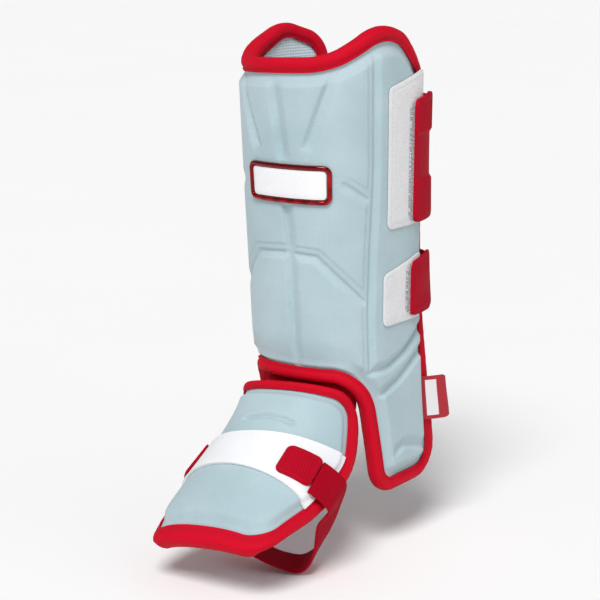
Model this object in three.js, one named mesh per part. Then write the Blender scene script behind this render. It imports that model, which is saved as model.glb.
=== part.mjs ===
// Batter's leg guard for the left leg: a moulded shin and calf wall with an ankle lobe on each
// side, an instep and toe guard joined to it by a cloth gusset, bound edges, and strap closures.
// Millimetres, +Z up, the toe towards -Y and the outer side of the leg towards +X.
import * as THREE from 'three';

const { smoothstep } = THREE.MathUtils;

// Whole guard
const GUARD_HEIGHT = 396;       // ground under the sole to the peak of the top edge
const CALF_HALF_WIDTH = 62.5;   // leg's middle to the outer face at the side, at the top
const SHIN_DEPTH = 63;          // leg's middle to the front of the outer face, at the top
const CALF_DEPTH = 82;          // leg's middle to the back of the calf, at the top
const WRAP = 302;               // flat width round the leg, from one back edge to the other
const CORNER = 24;              // radius of an ordinary corner of an outline

// Instep and toe guard
const FOOT_LENGTH = 150;        // along the ridge, toe edge to ankle edge
const FOOT_REACH = 161;         // leg's middle to the toe
const INSTEP_HEIGHT = 139;      // ground to the ridge at the ankle edge
const FOOT_HALF_WIDTH = 58;
const FOOT_ROLL = 6 * Math.PI / 180;    // the foot guard leans, its outer side higher
const FOOT_TURN = -1 * Math.PI / 180;
const FOOT_TURN_FORWARD = 50;   // the lean and turn pivot on a point this far forward
const FOOT_TURN_HEIGHT = 131;
const FOOT_SIDESTEP = -1;

// Padded wall, from its moulded face inwards
const FOAM = 9;
const SHIN_RIM_DROP = 5;        // how far the thin rim lies below the moulded face
const BEVEL = 8;                // width of the slope between the rim and the face
const FOOT_FOAM = 7;
const FOOT_RIM_DROP = 3.2;
const LINING = 2.4;
const LAYER_GAP = 0.4;
const EDGE_ROOM = 1.1;          // between a wall's cut edge and the fold of its binding
const FOOT_EDGE_ROOM = 1.8;
const FOOT_LINING_ROOM = 1;     // the foot's binding stands this much further off its lining
const BINDING_ROOM = 0.7;       // between a wall's two faces and the binding's legs
const BINDING_WIDTH = 9.5;
const BINDING_CLOTH = 1.8;
const GUSSET_CLOTH = 1.5;
const GUSSET_HALF = 47;         // half the gusset's width round the arch
const GUSSET_SEAM = 7;          // how far it is sewn up past each edge

// Closures
const LOOP_CLOTH = 1.2;
const STRAP_CLOTH = 2;
const TAB = 3.6;                // thickness of the upper moulded tab
const LOWER_TAB_THICK = 2.4;
const TAB_STEP = 1.6;           // the upper tab is thinner between its two straps
const UPPER_STRAP_WIDTH = 28;
const LOWER_STRAP_WIDTH = 38;
const STRAP_END = 33;           // how far a strap's sewn end laps onto the inner side
const FOOT_STRAP_WIDTH = 30;
const FOOT_STRAP_CLOTH = 1.8;
const FOOT_TAB = 3;
const FOOT_ANCHOR = 12;         // the strap's inner end stops this much nearer the ridge
const BAND_CLOTH = 1.2;
const BAND_ROOM = 0.3;          // more room under the band than under a patch

// Badge and tag
const BADGE_WIDTH = 66;
const BADGE_HEIGHT = 28.5;
const BADGE_FRAME = 3.4;
const BADGE_RAISE = 2.4;
const BADGE_PLATE = 1.4;
const BADGE_CORNER = 6;
const TAG_LENGTH = 34;
const TAG_REACH = 14.5;
const TAG_CLOTH = 1;
const TAG_LEAN = 0.3;           // how far its free end leans back, as a share of its reach

// Cross-sections of the shin wall. rise is a share of GUARD_HEIGHT, half and shift of
// CALF_HALF_WIDTH, front of SHIN_DEPTH, back of CALF_DEPTH. square is the back's roundness.
const SHIN_SECTIONS = [
  { rise: 0.066, half: 0.912, front: 0.746, back: 1.317, shift: 0.096, square: 3.6 },
  { rise: 0.192, half: 0.904, front: 0.746, back: 1.293, shift: 0.096, square: 3.6 },
  { rise: 0.318, half: 0.896, front: 0.778, back: 1.171, shift: 0.080, square: 3.2 },
  { rise: 0.470, half: 0.912, front: 0.825, back: 1.037, shift: 0.064, square: 2.8 },
  { rise: 0.697, half: 0.952, front: 0.905, back: 0.976, shift: 0.045, square: 2.6 },
  { rise: 1.000, half: 0.990, front: 1.000, back: 1.000, shift: 0.014, square: 2.6 },
];
const SHIN_SQUARE = 2.35;       // roundness of the front half of every section

// Flat outline of the shin wall, anticlockwise from the back of the inner ankle lobe. around is
// a share of half of WRAP from the front line, rise of GUARD_HEIGHT, round of CORNER.
const SHIN_OUTLINE = [
  { around: -0.993, rise: 0.222, round: 0.85 },
  { around: -0.596, rise: 0.202, round: 1.0 },
  { around: -0.397, rise: 0.351, round: 1.0 },
  { around: 0.411, rise: 0.351, round: 1.4 },
  { around: 0.530, rise: 0.126, round: 0.85 },
  { around: 1.033, rise: 0.131, round: 1.0 },
  { around: 1.007, rise: 0.899, round: 1.15 },
  { around: 0.596, rise: 1.023, round: 1.9 },
  { around: 0.225, rise: 0.949, round: 2.5 },
  { around: -0.331, rise: 0.939, round: 2.1 },
  { around: -0.742, rise: 0.996, round: 1.65 },
  { around: -1.046, rise: 0.962, round: 0.95 },
];

// Cross-sections of the foot guard from toe to ankle. along is a share of FOOT_LENGTH, ridge and
// rim of FOOT_REACH, ridgeRise and rimRise of INSTEP_HEIGHT, half of FOOT_HALF_WIDTH.
const FOOT_SECTIONS = [
  { along: 0.00, ridge: 1.019, ridgeRise: 0.309, rim: 0.963, rimRise: 0.230, half: 0.888 },
  { along: 0.13, ridge: 0.907, ridgeRise: 0.468, rim: 0.845, rimRise: 0.281, half: 0.966 },
  { along: 0.30, ridge: 0.770, ridgeRise: 0.597, rim: 0.634, rimRise: 0.360, half: 1.000 },
  { along: 0.48, ridge: 0.658, ridgeRise: 0.698, rim: 0.429, rimRise: 0.439, half: 0.983 },
  { along: 0.65, ridge: 0.547, ridgeRise: 0.799, rim: 0.267, rimRise: 0.525, half: 0.940 },
  { along: 0.82, ridge: 0.441, ridgeRise: 0.899, rim: 0.174, rimRise: 0.698, half: 0.879 },
  { along: 1.00, ridge: 0.354, ridgeRise: 1.000, rim: 0.161, rimRise: 0.878, half: 0.845 },
];
const FOOT_SQUARE = 2.3;

// Moulded channels of the shin face, each a run of places: around is a share of half of WRAP,
// rise of GUARD_HEIGHT. mirrored ones are on the inner side too.
const CHANNEL_WIDTH = 7;
const CHANNEL_DEPTH = 1.6;
const CHANNELS = [
  { mirrored: false, run: [[-0.013, 0.864], [0.013, 0.773]] },
  { mirrored: false, run: [[0.020, 0.674], [0.040, 0.389]] },
  { mirrored: true, run: [[0.215, 0.879], [0.132, 0.795]] },
  { mirrored: true, run: [[0.311, 0.715], [0.443, 0.683]] },
  { mirrored: true, run: [[0.030, 0.591], [0.170, 0.588], [0.410, 0.505]] },
  { mirrored: true, run: [[0.463, 0.944], [0.464, 0.747], [0.443, 0.598], [0.433, 0.364]] },
  { mirrored: true, run: [[0.444, 0.364], [0.603, 0.371], [0.861, 0.407]] },
  { mirrored: true, run: [[0.536, 0.321], [0.699, 0.338], [0.887, 0.366]] },
  { mirrored: false, run: [[0.656, 0.199], [0.728, 0.205], [0.900, 0.184]] },
];

// Interpolates a table's columns smoothly between its rows, and holds the end rows beyond them.
function smoothRow(table, key, place) {
  const names = Object.keys(table[0]).filter((name) => name !== key);
  const last = table.length - 1;
  const at = Math.min(Math.max(place, table[0][key]), table[last][key]);
  let k = 0;
  while (k < last - 1 && at > table[k + 1][key]) {
    k += 1;
  }
  const row = {};
  const step = table[k + 1][key] - table[k][key];
  const t = (at - table[k][key]) / step;
  for (const name of names) {
    const slope = (j) => {
      const low = Math.max(j - 1, 0);
      const high = Math.min(j + 1, last);
      return (table[high][name] - table[low][name]) / (table[high][key] - table[low][key]);
    };
    const from = table[k][name];
    const to = table[k + 1][name];
    row[name] = from * (1 + 2 * t) * (1 - t) ** 2 + slope(k) * step * t * (1 - t) ** 2
      + to * t * t * (3 - 2 * t) + slope(k + 1) * step * t * t * (t - 1);
  }
  return row;
}

// A superelliptic radius with the given half axes, at an angle whose sine and cosine are given
function roundedRadius(side, front, half, depth, square) {
  return ((Math.abs(side) / half) ** square + (Math.abs(front) / depth) ** square) ** (-1 / square);
}

// A point of the shin wall at an angle from the front line, lifted off its moulded face
function shinAtAngle(angle, height, lift) {
  const row = smoothRow(SHIN_SECTIONS, 'rise', height / GUARD_HEIGHT);
  const side = Math.sin(angle);
  const front = Math.cos(angle);
  const depth = front >= 0 ? row.front * SHIN_DEPTH : row.back * CALF_DEPTH;
  const square = front >= 0 ? SHIN_SQUARE : row.square;
  const half = row.half * CALF_HALF_WIDTH;
  const radius = roundedRadius(side, front, half + lift, depth + lift, square);
  const middle = row.shift * CALF_HALF_WIDTH;
  return new THREE.Vector3(middle + radius * side, -radius * front, height);
}

// Flat distance round the leg from the front line against the angle, at mid height
const ANGLE_STEPS = 480;
const ANGLE_FROM = -Math.PI;
const ANGLE_TO = Math.PI * 1.6;
const WRAP_HEIGHT = 0.57 * GUARD_HEIGHT;
const wrapAngles = [];
const wrapLengths = [];
for (let k = 0; k <= ANGLE_STEPS; k += 1) {
  wrapAngles.push(ANGLE_FROM + (ANGLE_TO - ANGLE_FROM) * k / ANGLE_STEPS);
  wrapLengths.push(k === 0 ? 0 : wrapLengths[k - 1] + shinAtAngle(wrapAngles[k], WRAP_HEIGHT, 0)
    .distanceTo(shinAtAngle(wrapAngles[k - 1], WRAP_HEIGHT, 0)));
}

// Linear look-up of value y at x, in two rising lists
function lookUp(x, xs, ys) {
  let k = 1;
  while (k < xs.length - 1 && x > xs[k]) {
    k += 1;
  }
  return ys[k - 1] + (ys[k] - ys[k - 1]) * (x - xs[k - 1]) / (xs[k] - xs[k - 1]);
}

const frontLength = lookUp(0, wrapAngles, wrapLengths);
const fullTurn = lookUp(Math.PI * 1.5, wrapAngles, wrapLengths)
  - lookUp(-Math.PI / 2, wrapAngles, wrapLengths);

// A point of the shin wall: flat distance round from the front line, height, lift off the face
function onShin(around, height, lift) {
  return shinAtAngle(lookUp(around + frontLength, wrapLengths, wrapAngles), height, lift);
}

// One section of the foot guard, as points from the inner rim to the outer rim with their
// distances from the ridge
const SECTION_STEPS = 48;
const footSections = new Map();
function footSection(along) {
  const key = along.toFixed(3);
  if (footSections.has(key)) {
    return footSections.get(key);
  }
  const row = smoothRow(FOOT_SECTIONS, 'along', along / FOOT_LENGTH);
  const rim = new THREE.Vector3(0, -row.rim * FOOT_REACH, row.rimRise * INSTEP_HEIGHT);
  const ridge = new THREE.Vector3(0, -row.ridge * FOOT_REACH, row.ridgeRise * INSTEP_HEIGHT);
  const pivot = new THREE.Vector3(0, -FOOT_TURN_FORWARD, FOOT_TURN_HEIGHT);
  const points = [];
  const lengths = [];
  for (let k = 0; k <= SECTION_STEPS; k += 1) {
    const angle = Math.PI * (k / SECTION_STEPS - 0.5);
    const radius = roundedRadius(Math.sin(angle), Math.cos(angle), 1, 1, FOOT_SQUARE);
    const point = rim.clone().lerp(ridge, radius * Math.cos(angle));
    point.x = row.half * FOOT_HALF_WIDTH * radius * Math.sin(angle);
    point.sub(pivot);
    point.applyAxisAngle(new THREE.Vector3(0, -1, 0), FOOT_ROLL);
    point.applyAxisAngle(new THREE.Vector3(0, 0, 1), FOOT_TURN);
    point.add(pivot);
    point.x += FOOT_SIDESTEP;
    points.push(point);
    lengths.push(k === 0 ? 0 : lengths[k - 1] + point.distanceTo(points[k - 1]));
  }
  const middle = lengths[SECTION_STEPS / 2];
  const section = { points, lengths: lengths.map((length) => length - middle) };
  footSections.set(key, section);
  return section;
}

// Half the flat width of the foot guard there
function footHalfArc(along) {
  return footSection(along).lengths[SECTION_STEPS];
}

// A point of the foot guard's face: flat distance across from the ridge, distance from the toe
function footFace(across, along) {
  const { points, lengths } = footSection(along);
  const coordinate = (axis) => lookUp(across, lengths, points.map((point) => point[axis]));
  return new THREE.Vector3(coordinate('x'), coordinate('y'), coordinate('z'));
}

// The same, lifted off the face, along a normal taken over a few millimetres
const NORMAL_REACH = 4;
function onFoot(across, along, lift) {
  const from = Math.max(along - NORMAL_REACH, 0);
  const to = Math.min(along + NORMAL_REACH, FOOT_LENGTH);
  const sideways = footFace(across + NORMAL_REACH, along)
    .sub(footFace(across - NORMAL_REACH, along));
  const upwards = footFace(across, to).sub(footFace(across, from));
  const outwards = sideways.cross(upwards).normalize();
  return footFace(across, along).addScaledVector(outwards, lift);
}

// Rounds the corners of a flat outline and steps evenly round it, anticlockwise
function roundedLoop(corners, step) {
  const shape = new THREE.Path();
  const count = corners.length;
  const sides = corners.map((corner, k) => corners[(k + 1) % count].place.clone().sub(corner.place));
  const cuts = corners.map((corner, k) => {
    const before = sides[(k + count - 1) % count];
    const turn = Math.abs(Math.atan2(before.cross(sides[k]), before.dot(sides[k])));
    const limit = 0.49 * Math.min(before.length(), sides[k].length());
    return Math.min(corner.radius * Math.tan(turn / 2), limit);
  });
  corners.forEach((corner, k) => {
    const before = sides[(k + count - 1) % count].clone().normalize();
    const after = sides[k].clone().normalize();
    const start = corner.place.clone().addScaledVector(before, -cuts[k]);
    const end = corner.place.clone().addScaledVector(after, cuts[k]);
    if (k === 0) {
      shape.moveTo(start.x, start.y);
    } else {
      shape.lineTo(start.x, start.y);
    }
    shape.bezierCurveTo(
      start.x + before.x * cuts[k] * 0.56, start.y + before.y * cuts[k] * 0.56,
      end.x - after.x * cuts[k] * 0.56, end.y - after.y * cuts[k] * 0.56, end.x, end.y,
    );
  });
  shape.closePath();
  const points = shape.getSpacedPoints(Math.round(shape.getLength() / step));
  points.pop();
  return points;
}

// Moves each point of a flat loop inwards by a distance
function insetLoop(loop, distance) {
  return loop.map((point, k) => {
    const before = loop[(k + loop.length - 1) % loop.length];
    const after = loop[(k + 1) % loop.length];
    const along = after.clone().sub(before).normalize();
    return new THREE.Vector2(point.x - along.y * distance, point.y + along.x * distance);
  });
}

// Distance from a flat place to a loop
function edgeDistance(place, loop) {
  let nearest = Infinity;
  loop.forEach((from, k) => {
    const side = loop[(k + 1) % loop.length].clone().sub(from);
    const t = Math.min(Math.max(place.clone().sub(from).dot(side) / side.lengthSq(), 0), 1);
    nearest = Math.min(nearest, place.distanceTo(from.clone().addScaledVector(side, t)));
  });
  return nearest;
}

// Distance from a flat place to an open run of places
function runDistance(place, run) {
  let nearest = Infinity;
  for (let k = 1; k < run.length; k += 1) {
    const side = run[k].clone().sub(run[k - 1]);
    const t = Math.min(Math.max(place.clone().sub(run[k - 1]).dot(side) / side.lengthSq(), 0), 1);
    nearest = Math.min(nearest, place.distanceTo(run[k - 1].clone().addScaledVector(side, t)));
  }
  return nearest;
}

// The part of a loop from the point nearest one corner to the point nearest the next, in count steps
function chain(loop, fromCorner, toCorner, count) {
  const nearest = (corner) => loop.reduce((best, point, k) => (
    point.distanceTo(corner) < loop[best].distanceTo(corner) ? k : best), 0);
  const start = nearest(fromCorner);
  const end = nearest(toCorner);
  const points = [];
  for (let k = start; k !== end; k = (k + 1) % loop.length) {
    points.push(loop[k]);
  }
  points.push(loop[end]);
  const lengths = [0];
  for (let k = 1; k < points.length; k += 1) {
    lengths.push(lengths[k - 1] + points[k].distanceTo(points[k - 1]));
  }
  const total = lengths[lengths.length - 1];
  const stations = [];
  for (let k = 0; k <= count; k += 1) {
    const at = total * k / count;
    stations.push(new THREE.Vector2(
      lookUp(at, lengths, points.map((point) => point.x)),
      lookUp(at, lengths, points.map((point) => point.y)),
    ));
  }
  return stations;
}

// A flat grid that fills a loop and follows all four of its sides. The corners are lower left,
// lower right, upper right and upper left.
function filledGrid(loop, corners, columns, rows) {
  const low = chain(loop, corners[0], corners[1], columns);
  const right = chain(loop, corners[1], corners[2], rows);
  const high = chain(loop, corners[2], corners[3], columns).reverse();
  const left = chain(loop, corners[3], corners[0], rows).reverse();
  return low.map((from, i) => left.map((side, j) => {
    const u = i / columns;
    const v = j / rows;
    const across = side.clone().lerp(right[j], u);
    const upwards = from.clone().lerp(high[i], v);
    const lowEdge = low[0].clone().lerp(low[columns], u);
    const highEdge = high[0].clone().lerp(high[columns], u);
    return across.add(upwards).sub(lowEdge.lerp(highEdge, v));
  }));
}

// A closed geometry from points and faces, turned right side out
function closedGeometry(points, faces) {
  let volume = 0;
  for (const [a, b, c] of faces) {
    volume += points[a].dot(points[b].clone().cross(points[c])) / 6;
  }
  const geometry = new THREE.BufferGeometry();
  geometry.setFromPoints(points);
  geometry.setIndex(faces.flatMap(([a, b, c]) => (volume > 0 ? [a, b, c] : [a, c, b])));
  geometry.computeVertexNormals();
  return geometry;
}

// A closed wall with two faces over a grid of flat places. The inner face keeps one row in skip.
function wall(grid, outer, inner, skip = 1) {
  const columns = grid.length - 1;
  const rows = grid[0].length - 1;
  const innerRows = rows / skip;
  const points = [];
  const faces = [];
  grid.forEach((line) => line.forEach((place) => points.push(outer(place))));
  grid.forEach((line) => line.filter((place, j) => j % skip === 0)
    .forEach((place) => points.push(inner(place))));
  const out = (i, j) => i * (rows + 1) + j;
  const back = (i, j) => (columns + 1) * (rows + 1) + i * (innerRows + 1) + j;
  const quad = (a, b, c, d) => faces.push([a, b, c], [a, c, d]);
  for (let i = 0; i < columns; i += 1) {
    for (let j = 0; j < rows; j += 1) {
      quad(out(i, j), out(i + 1, j), out(i + 1, j + 1), out(i, j + 1));
    }
    for (let j = 0; j < innerRows; j += 1) {
      quad(back(i, j), back(i, j + 1), back(i + 1, j + 1), back(i + 1, j));
    }
    quad(out(i, 0), back(i, 0), back(i + 1, 0), out(i + 1, 0));
    quad(out(i, rows), out(i + 1, rows), back(i + 1, innerRows), back(i, innerRows));
  }
  for (let k = 0; k < innerRows; k += 1) {
    for (let j = k * skip; j < (k + 1) * skip; j += 1) {
      faces.push([out(0, j), out(0, j + 1), back(0, k)]);
      faces.push([out(columns, j), back(columns, k), out(columns, j + 1)]);
    }
    faces.push([out(0, (k + 1) * skip), back(0, k + 1), back(0, k)]);
    faces.push([out(columns, (k + 1) * skip), back(columns, k), back(columns, k + 1)]);
  }
  return closedGeometry(points, faces);
}

// A section swept round a closed flat loop. Each place of the section is a distance in from the
// loop and a lift off the face.
function sweptRing(loop, section, place) {
  const count = section.length;
  const rings = section.map(({ inset, lift }) => (
    insetLoop(loop, inset).map((point) => place(point.x, point.y, lift))));
  const points = loop.flatMap((point, k) => rings.map((ring) => ring[k]));
  const faces = [];
  for (let k = 0; k < loop.length; k += 1) {
    const next = (k + 1) % loop.length;
    for (let j = 0; j < count; j += 1) {
      const up = (j + 1) % count;
      faces.push([k * count + j, next * count + j, next * count + up]);
      faces.push([k * count + j, next * count + up, k * count + up]);
    }
  }
  return closedGeometry(points, faces);
}

// The folded binding's section, over a rim whose two faces lie at the given lifts
function bindingSection(outerFace, innerFace) {
  const front = outerFace + BINDING_ROOM;
  const back = innerFace - BINDING_ROOM;
  const middle = (front + back) / 2;
  const half = (front - back) / 2;
  const round = 0.5 * half;
  return [
    { inset: BINDING_WIDTH, lift: front },
    { inset: BINDING_WIDTH, lift: front + BINDING_CLOTH },
    { inset: round, lift: front + BINDING_CLOTH },
    { inset: 0, lift: middle },
    { inset: round, lift: back - BINDING_CLOTH },
    { inset: BINDING_WIDTH, lift: back - BINDING_CLOTH },
    { inset: BINDING_WIDTH, lift: back },
    { inset: BINDING_CLOTH, lift: back },
    { inset: BINDING_CLOTH, lift: front },
  ];
}

const guard = new THREE.Group();

function addPiece(name, geometry, colour, roughness, metalness = 0) {
  const material = new THREE.MeshStandardMaterial({ color: colour, roughness, metalness });
  const mesh = new THREE.Mesh(geometry, material);
  mesh.name = name;
  guard.add(mesh);
}

const PALE_BLUE = 0xb4cbd3;
const LINING_BLUE = 0xa9c6d4;
const RED = 0xc8102e;
const DARK_RED = 0xa30d26;
const WHITE = 0xeeeeee;

// Shin wall: outline, layers and moulded relief
const halfWrap = WRAP / 2;
const shinCorners = SHIN_OUTLINE.map(({ around, rise, round }) => ({
  place: new THREE.Vector2(around * halfWrap, rise * GUARD_HEIGHT),
  radius: round * CORNER,
}));
const shinLoop = roundedLoop(shinCorners, 13);
const shinTurns = [0, 5, 6, 11].map((k) => shinCorners[k].place);
const channelRuns = CHANNELS.flatMap(({ mirrored, run }) => {
  const sides = mirrored ? [1, -1] : [1];
  return sides.map((side) => run.map(([around, rise]) => (
    new THREE.Vector2(side * around * halfWrap, rise * GUARD_HEIGHT))));
});
const RIM_WIDTH = BINDING_WIDTH + 4.5;
const EDGE_TUCK = BINDING_CLOTH + EDGE_ROOM;

function shinRelief(place) {
  const inwards = edgeDistance(place, shinLoop);
  const face = smoothstep(inwards, RIM_WIDTH, RIM_WIDTH + BEVEL);
  let channel = 0;
  for (const run of channelRuns) {
    channel = Math.max(channel, 1 - smoothstep(runDistance(place, run), 0, CHANNEL_WIDTH));
  }
  return -SHIN_RIM_DROP * (1 - face) - CHANNEL_DEPTH * channel * face;
}

const INNER_ROWS = 4;           // an inner face keeps one row in this many
const FOOT_INNER_ROWS = 2;
const shinGrid = filledGrid(insetLoop(shinLoop, EDGE_TUCK), shinTurns, 38, 32);
const shinInnerGrid = shinGrid.map((line) => line.filter((place, j) => j % INNER_ROWS === 0));
addPiece('shin_shell', wall(
  shinGrid,
  (place) => onShin(place.x, place.y, shinRelief(place)),
  (place) => onShin(place.x, place.y, -FOAM),
  INNER_ROWS,
), PALE_BLUE, 0.75);

const liningFace = -FOAM - LAYER_GAP;
addPiece('shin_lining', wall(
  shinInnerGrid,
  (place) => onShin(place.x, place.y, liningFace),
  (place) => onShin(place.x, place.y, liningFace - LINING),
), LINING_BLUE, 0.9);

addPiece('shin_binding', sweptRing(
  shinLoop,
  bindingSection(-SHIN_RIM_DROP, liningFace - LINING),
  onShin,
), RED, 0.7);

// Foot guard: its rim follows the sections, with round corners at toe and ankle
const footRimRows = FOOT_SECTIONS.slice(2, -2).map(({ along }) => along * FOOT_LENGTH);
const footRows = [0, ...footRimRows, FOOT_LENGTH];
const rimPlace = (side, along) => new THREE.Vector2(side * footHalfArc(along), along);
const footCorners = [
  ...footRows.map((along) => ({ along, side: 1 })),
  ...footRows.map((along) => ({ along, side: -1 })).reverse(),
].map(({ along, side }) => {
  const ends = side > 0 ? { 0: 1.5, [FOOT_LENGTH]: 1.25 } : { 0: 1.0, [FOOT_LENGTH]: 1.9 };
  const rounding = ends[along] ?? 2.5;
  return { place: rimPlace(side, along), radius: rounding * CORNER };
});
const footLoop = roundedLoop(footCorners, 10);
const footTurns = [rimPlace(-1, 0), rimPlace(1, 0), rimPlace(1, FOOT_LENGTH), rimPlace(-1, FOOT_LENGTH)];
const footGrid = filledGrid(
  insetLoop(footLoop, BINDING_CLOTH + FOOT_EDGE_ROOM), footTurns, 22, 14,
);
const footInnerGrid = footGrid.map((line) => line.filter((place, j) => j % FOOT_INNER_ROWS === 0));

function footRelief(place) {
  const inwards = edgeDistance(place, footLoop);
  return -FOOT_RIM_DROP * (1 - smoothstep(inwards, RIM_WIDTH, RIM_WIDTH + BEVEL));
}

addPiece('foot_shell', wall(
  footGrid,
  (place) => onFoot(place.x, place.y, footRelief(place)),
  (place) => onFoot(place.x, place.y, -FOOT_FOAM),
  FOOT_INNER_ROWS,
), PALE_BLUE, 0.75);

const footLiningFace = -FOOT_FOAM - LAYER_GAP;
addPiece('foot_lining', wall(
  footInnerGrid,
  (place) => onFoot(place.x, place.y, footLiningFace),
  (place) => onFoot(place.x, place.y, footLiningFace - LINING),
), LINING_BLUE, 0.9);

addPiece('foot_binding', sweptRing(
  footLoop,
  bindingSection(-FOOT_RIM_DROP, footLiningFace - LINING - FOOT_LINING_ROOM),
  onFoot,
), RED, 0.7);

// Gusset: cloth on the inside, from behind the arch of the shin wall to behind the foot's edge
const archHeight = SHIN_OUTLINE[3].rise * GUARD_HEIGHT;
const shinInside = liningFace - LINING - BINDING_ROOM - BINDING_CLOTH - LAYER_GAP;
const footInside = footLiningFace - LINING - FOOT_LINING_ROOM - BINDING_ROOM - BINDING_CLOTH - LAYER_GAP;
const GUSSET_ROWS = 4;
const GUSSET_COLUMNS = 10;
const GUSSET_WAIST = 0.4;       // where it passes, from the arch towards the foot
const GUSSET_HANG = 2;          // how far it hangs straight below the arch
function gussetPlace(across, share, thickness) {
  const high = (height) => onShin(across, archHeight + height, shinInside - thickness);
  const low = (along) => onFoot(across, FOOT_LENGTH - along, footInside - thickness);
  const waist = high(0).lerp(low(0), GUSSET_WAIST);
  const route = [low(GUSSET_SEAM), low(0), waist, high(-GUSSET_HANG), high(GUSSET_SEAM)];
  return new THREE.CatmullRomCurve3(route).getPoint(share);
}
const gussetGrid = [];
for (let i = 0; i <= GUSSET_COLUMNS; i += 1) {
  const line = [];
  for (let j = 0; j <= GUSSET_ROWS; j += 1) {
    line.push(new THREE.Vector2(GUSSET_HALF * (2 * i / GUSSET_COLUMNS - 1), j / GUSSET_ROWS));
  }
  gussetGrid.push(line);
}
addPiece('ankle_gusset', wall(
  gussetGrid,
  (place) => gussetPlace(place.x, place.y, 0),
  (place) => gussetPlace(place.x, place.y, GUSSET_CLOTH),
), DARK_RED, 0.85);

// A flat rectangle with round corners, as a loop and its four corners
function roundedPanel(left, right, low, high, radius, step, slant = 0) {
  const place = (x, y) => new THREE.Vector2(x, y + slant * (y - low) / (high - low) * (x - left));
  const turns = [place(left, low), place(right, low), place(right, high), place(left, high)];
  return { loop: roundedLoop(turns.map((turn) => ({ place: turn, radius })), step), turns };
}

// Lays a flat panel on the shin face between two lifts
function shinPatch({ loop, turns }, columns, rows, low, high) {
  return wall(
    filledGrid(loop, turns, columns, rows),
    (place) => onShin(place.x, place.y, high),
    (place) => onShin(place.x, place.y, low),
  );
}

// Badge on the front of the shin: a raised frame round a plain plate
const BADGE_AROUND = 0.033 * halfWrap;
const BADGE_RISE = 0.722 * GUARD_HEIGHT;
const badge = (inset) => roundedPanel(
  BADGE_AROUND - BADGE_WIDTH / 2 + inset, BADGE_AROUND + BADGE_WIDTH / 2 - inset,
  BADGE_RISE - BADGE_HEIGHT / 2 + inset, BADGE_RISE + BADGE_HEIGHT / 2 - inset,
  BADGE_CORNER - inset * 0.8, 5.5,
);
addPiece('badge_frame', sweptRing(badge(0).loop, [
  { inset: 0, lift: LAYER_GAP },
  { inset: 0, lift: LAYER_GAP + BADGE_RAISE * 0.6 },
  { inset: BADGE_FRAME * 0.3, lift: LAYER_GAP + BADGE_RAISE },
  { inset: BADGE_FRAME * 0.7, lift: LAYER_GAP + BADGE_RAISE },
  { inset: BADGE_FRAME, lift: LAYER_GAP + BADGE_RAISE * 0.6 },
  { inset: BADGE_FRAME, lift: LAYER_GAP },
], onShin), DARK_RED, 0.2, 0.8);
addPiece('badge_plate', shinPatch(
  badge(BADGE_FRAME + LAYER_GAP), 8, 3, LAYER_GAP, LAYER_GAP + BADGE_PLATE,
), WHITE, 0.4);

// Loop-cloth patches on the outer side, and the moulded tabs that close on them
const PATCH_RIGHT = 0.880 * halfWrap;
const TAB_RIGHT = 0.985 * halfWrap;
const patchLift = LAYER_GAP;
const tabLift = patchLift + LOOP_CLOTH + LAYER_GAP;
// left is a share of half of WRAP, low and high of GUARD_HEIGHT
const UPPER_PATCH = { left: 0.550, low: 0.632, high: 0.893, slant: 0.22 };
const LOWER_PATCH = { left: 0.530, low: 0.450, high: 0.549, slant: 0.2 };
const UPPER_TAB = { left: 0.770, low: 0.635, high: 0.864, slant: 0.12 };
const LOWER_TAB = { left: 0.752, low: 0.457, high: 0.560, slant: 0.15 };
const closurePanel = ({ left, low, high, slant }, right, radius) => roundedPanel(
  left * halfWrap, right, low * GUARD_HEIGHT, high * GUARD_HEIGHT, radius, 4.5, slant,
);
for (const [name, table] of Object.entries({
  upper_loop_panel: UPPER_PATCH,
  lower_loop_panel: LOWER_PATCH,
})) {
  const panel = closurePanel(table, PATCH_RIGHT, 5);
  addPiece(name, shinPatch(panel, 6, 4, patchLift, patchLift + LOOP_CLOTH), WHITE, 0.9);
}

// The upper tab is thick at each strap and thin between; the lower one is thick all over
function tabGeometry(table, rows, thickness) {
  const panel = closurePanel(table, TAB_RIGHT, 6);
  const share = (height) => (height / GUARD_HEIGHT - table.low) / (table.high - table.low);
  return wall(
    filledGrid(panel.loop, panel.turns, 4, rows),
    (place) => onShin(place.x, place.y, tabLift + thickness(share(place.y))),
    (place) => onShin(place.x, place.y, tabLift),
  );
}
const UPPER_STRAPS = { upper_strap_low: 0.18, upper_strap_high: 0.84 };
const THIN_FROM = 0.34;         // the thin stretch of the upper tab, as shares of its height
const THIN_TO = 0.72;
const THIN_SLOPE = 0.03;
addPiece('upper_strap_tab', tabGeometry(UPPER_TAB, 11, (share) => {
  const thin = smoothstep(share, THIN_FROM - THIN_SLOPE, THIN_FROM + THIN_SLOPE)
    - smoothstep(share, THIN_TO - THIN_SLOPE, THIN_TO + THIN_SLOPE);
  return TAB - TAB_STEP * thin;
}), RED, 0.5);
addPiece('lower_strap_tab', tabGeometry(LOWER_TAB, 5, () => LOWER_TAB_THICK), RED, 0.5);

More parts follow.
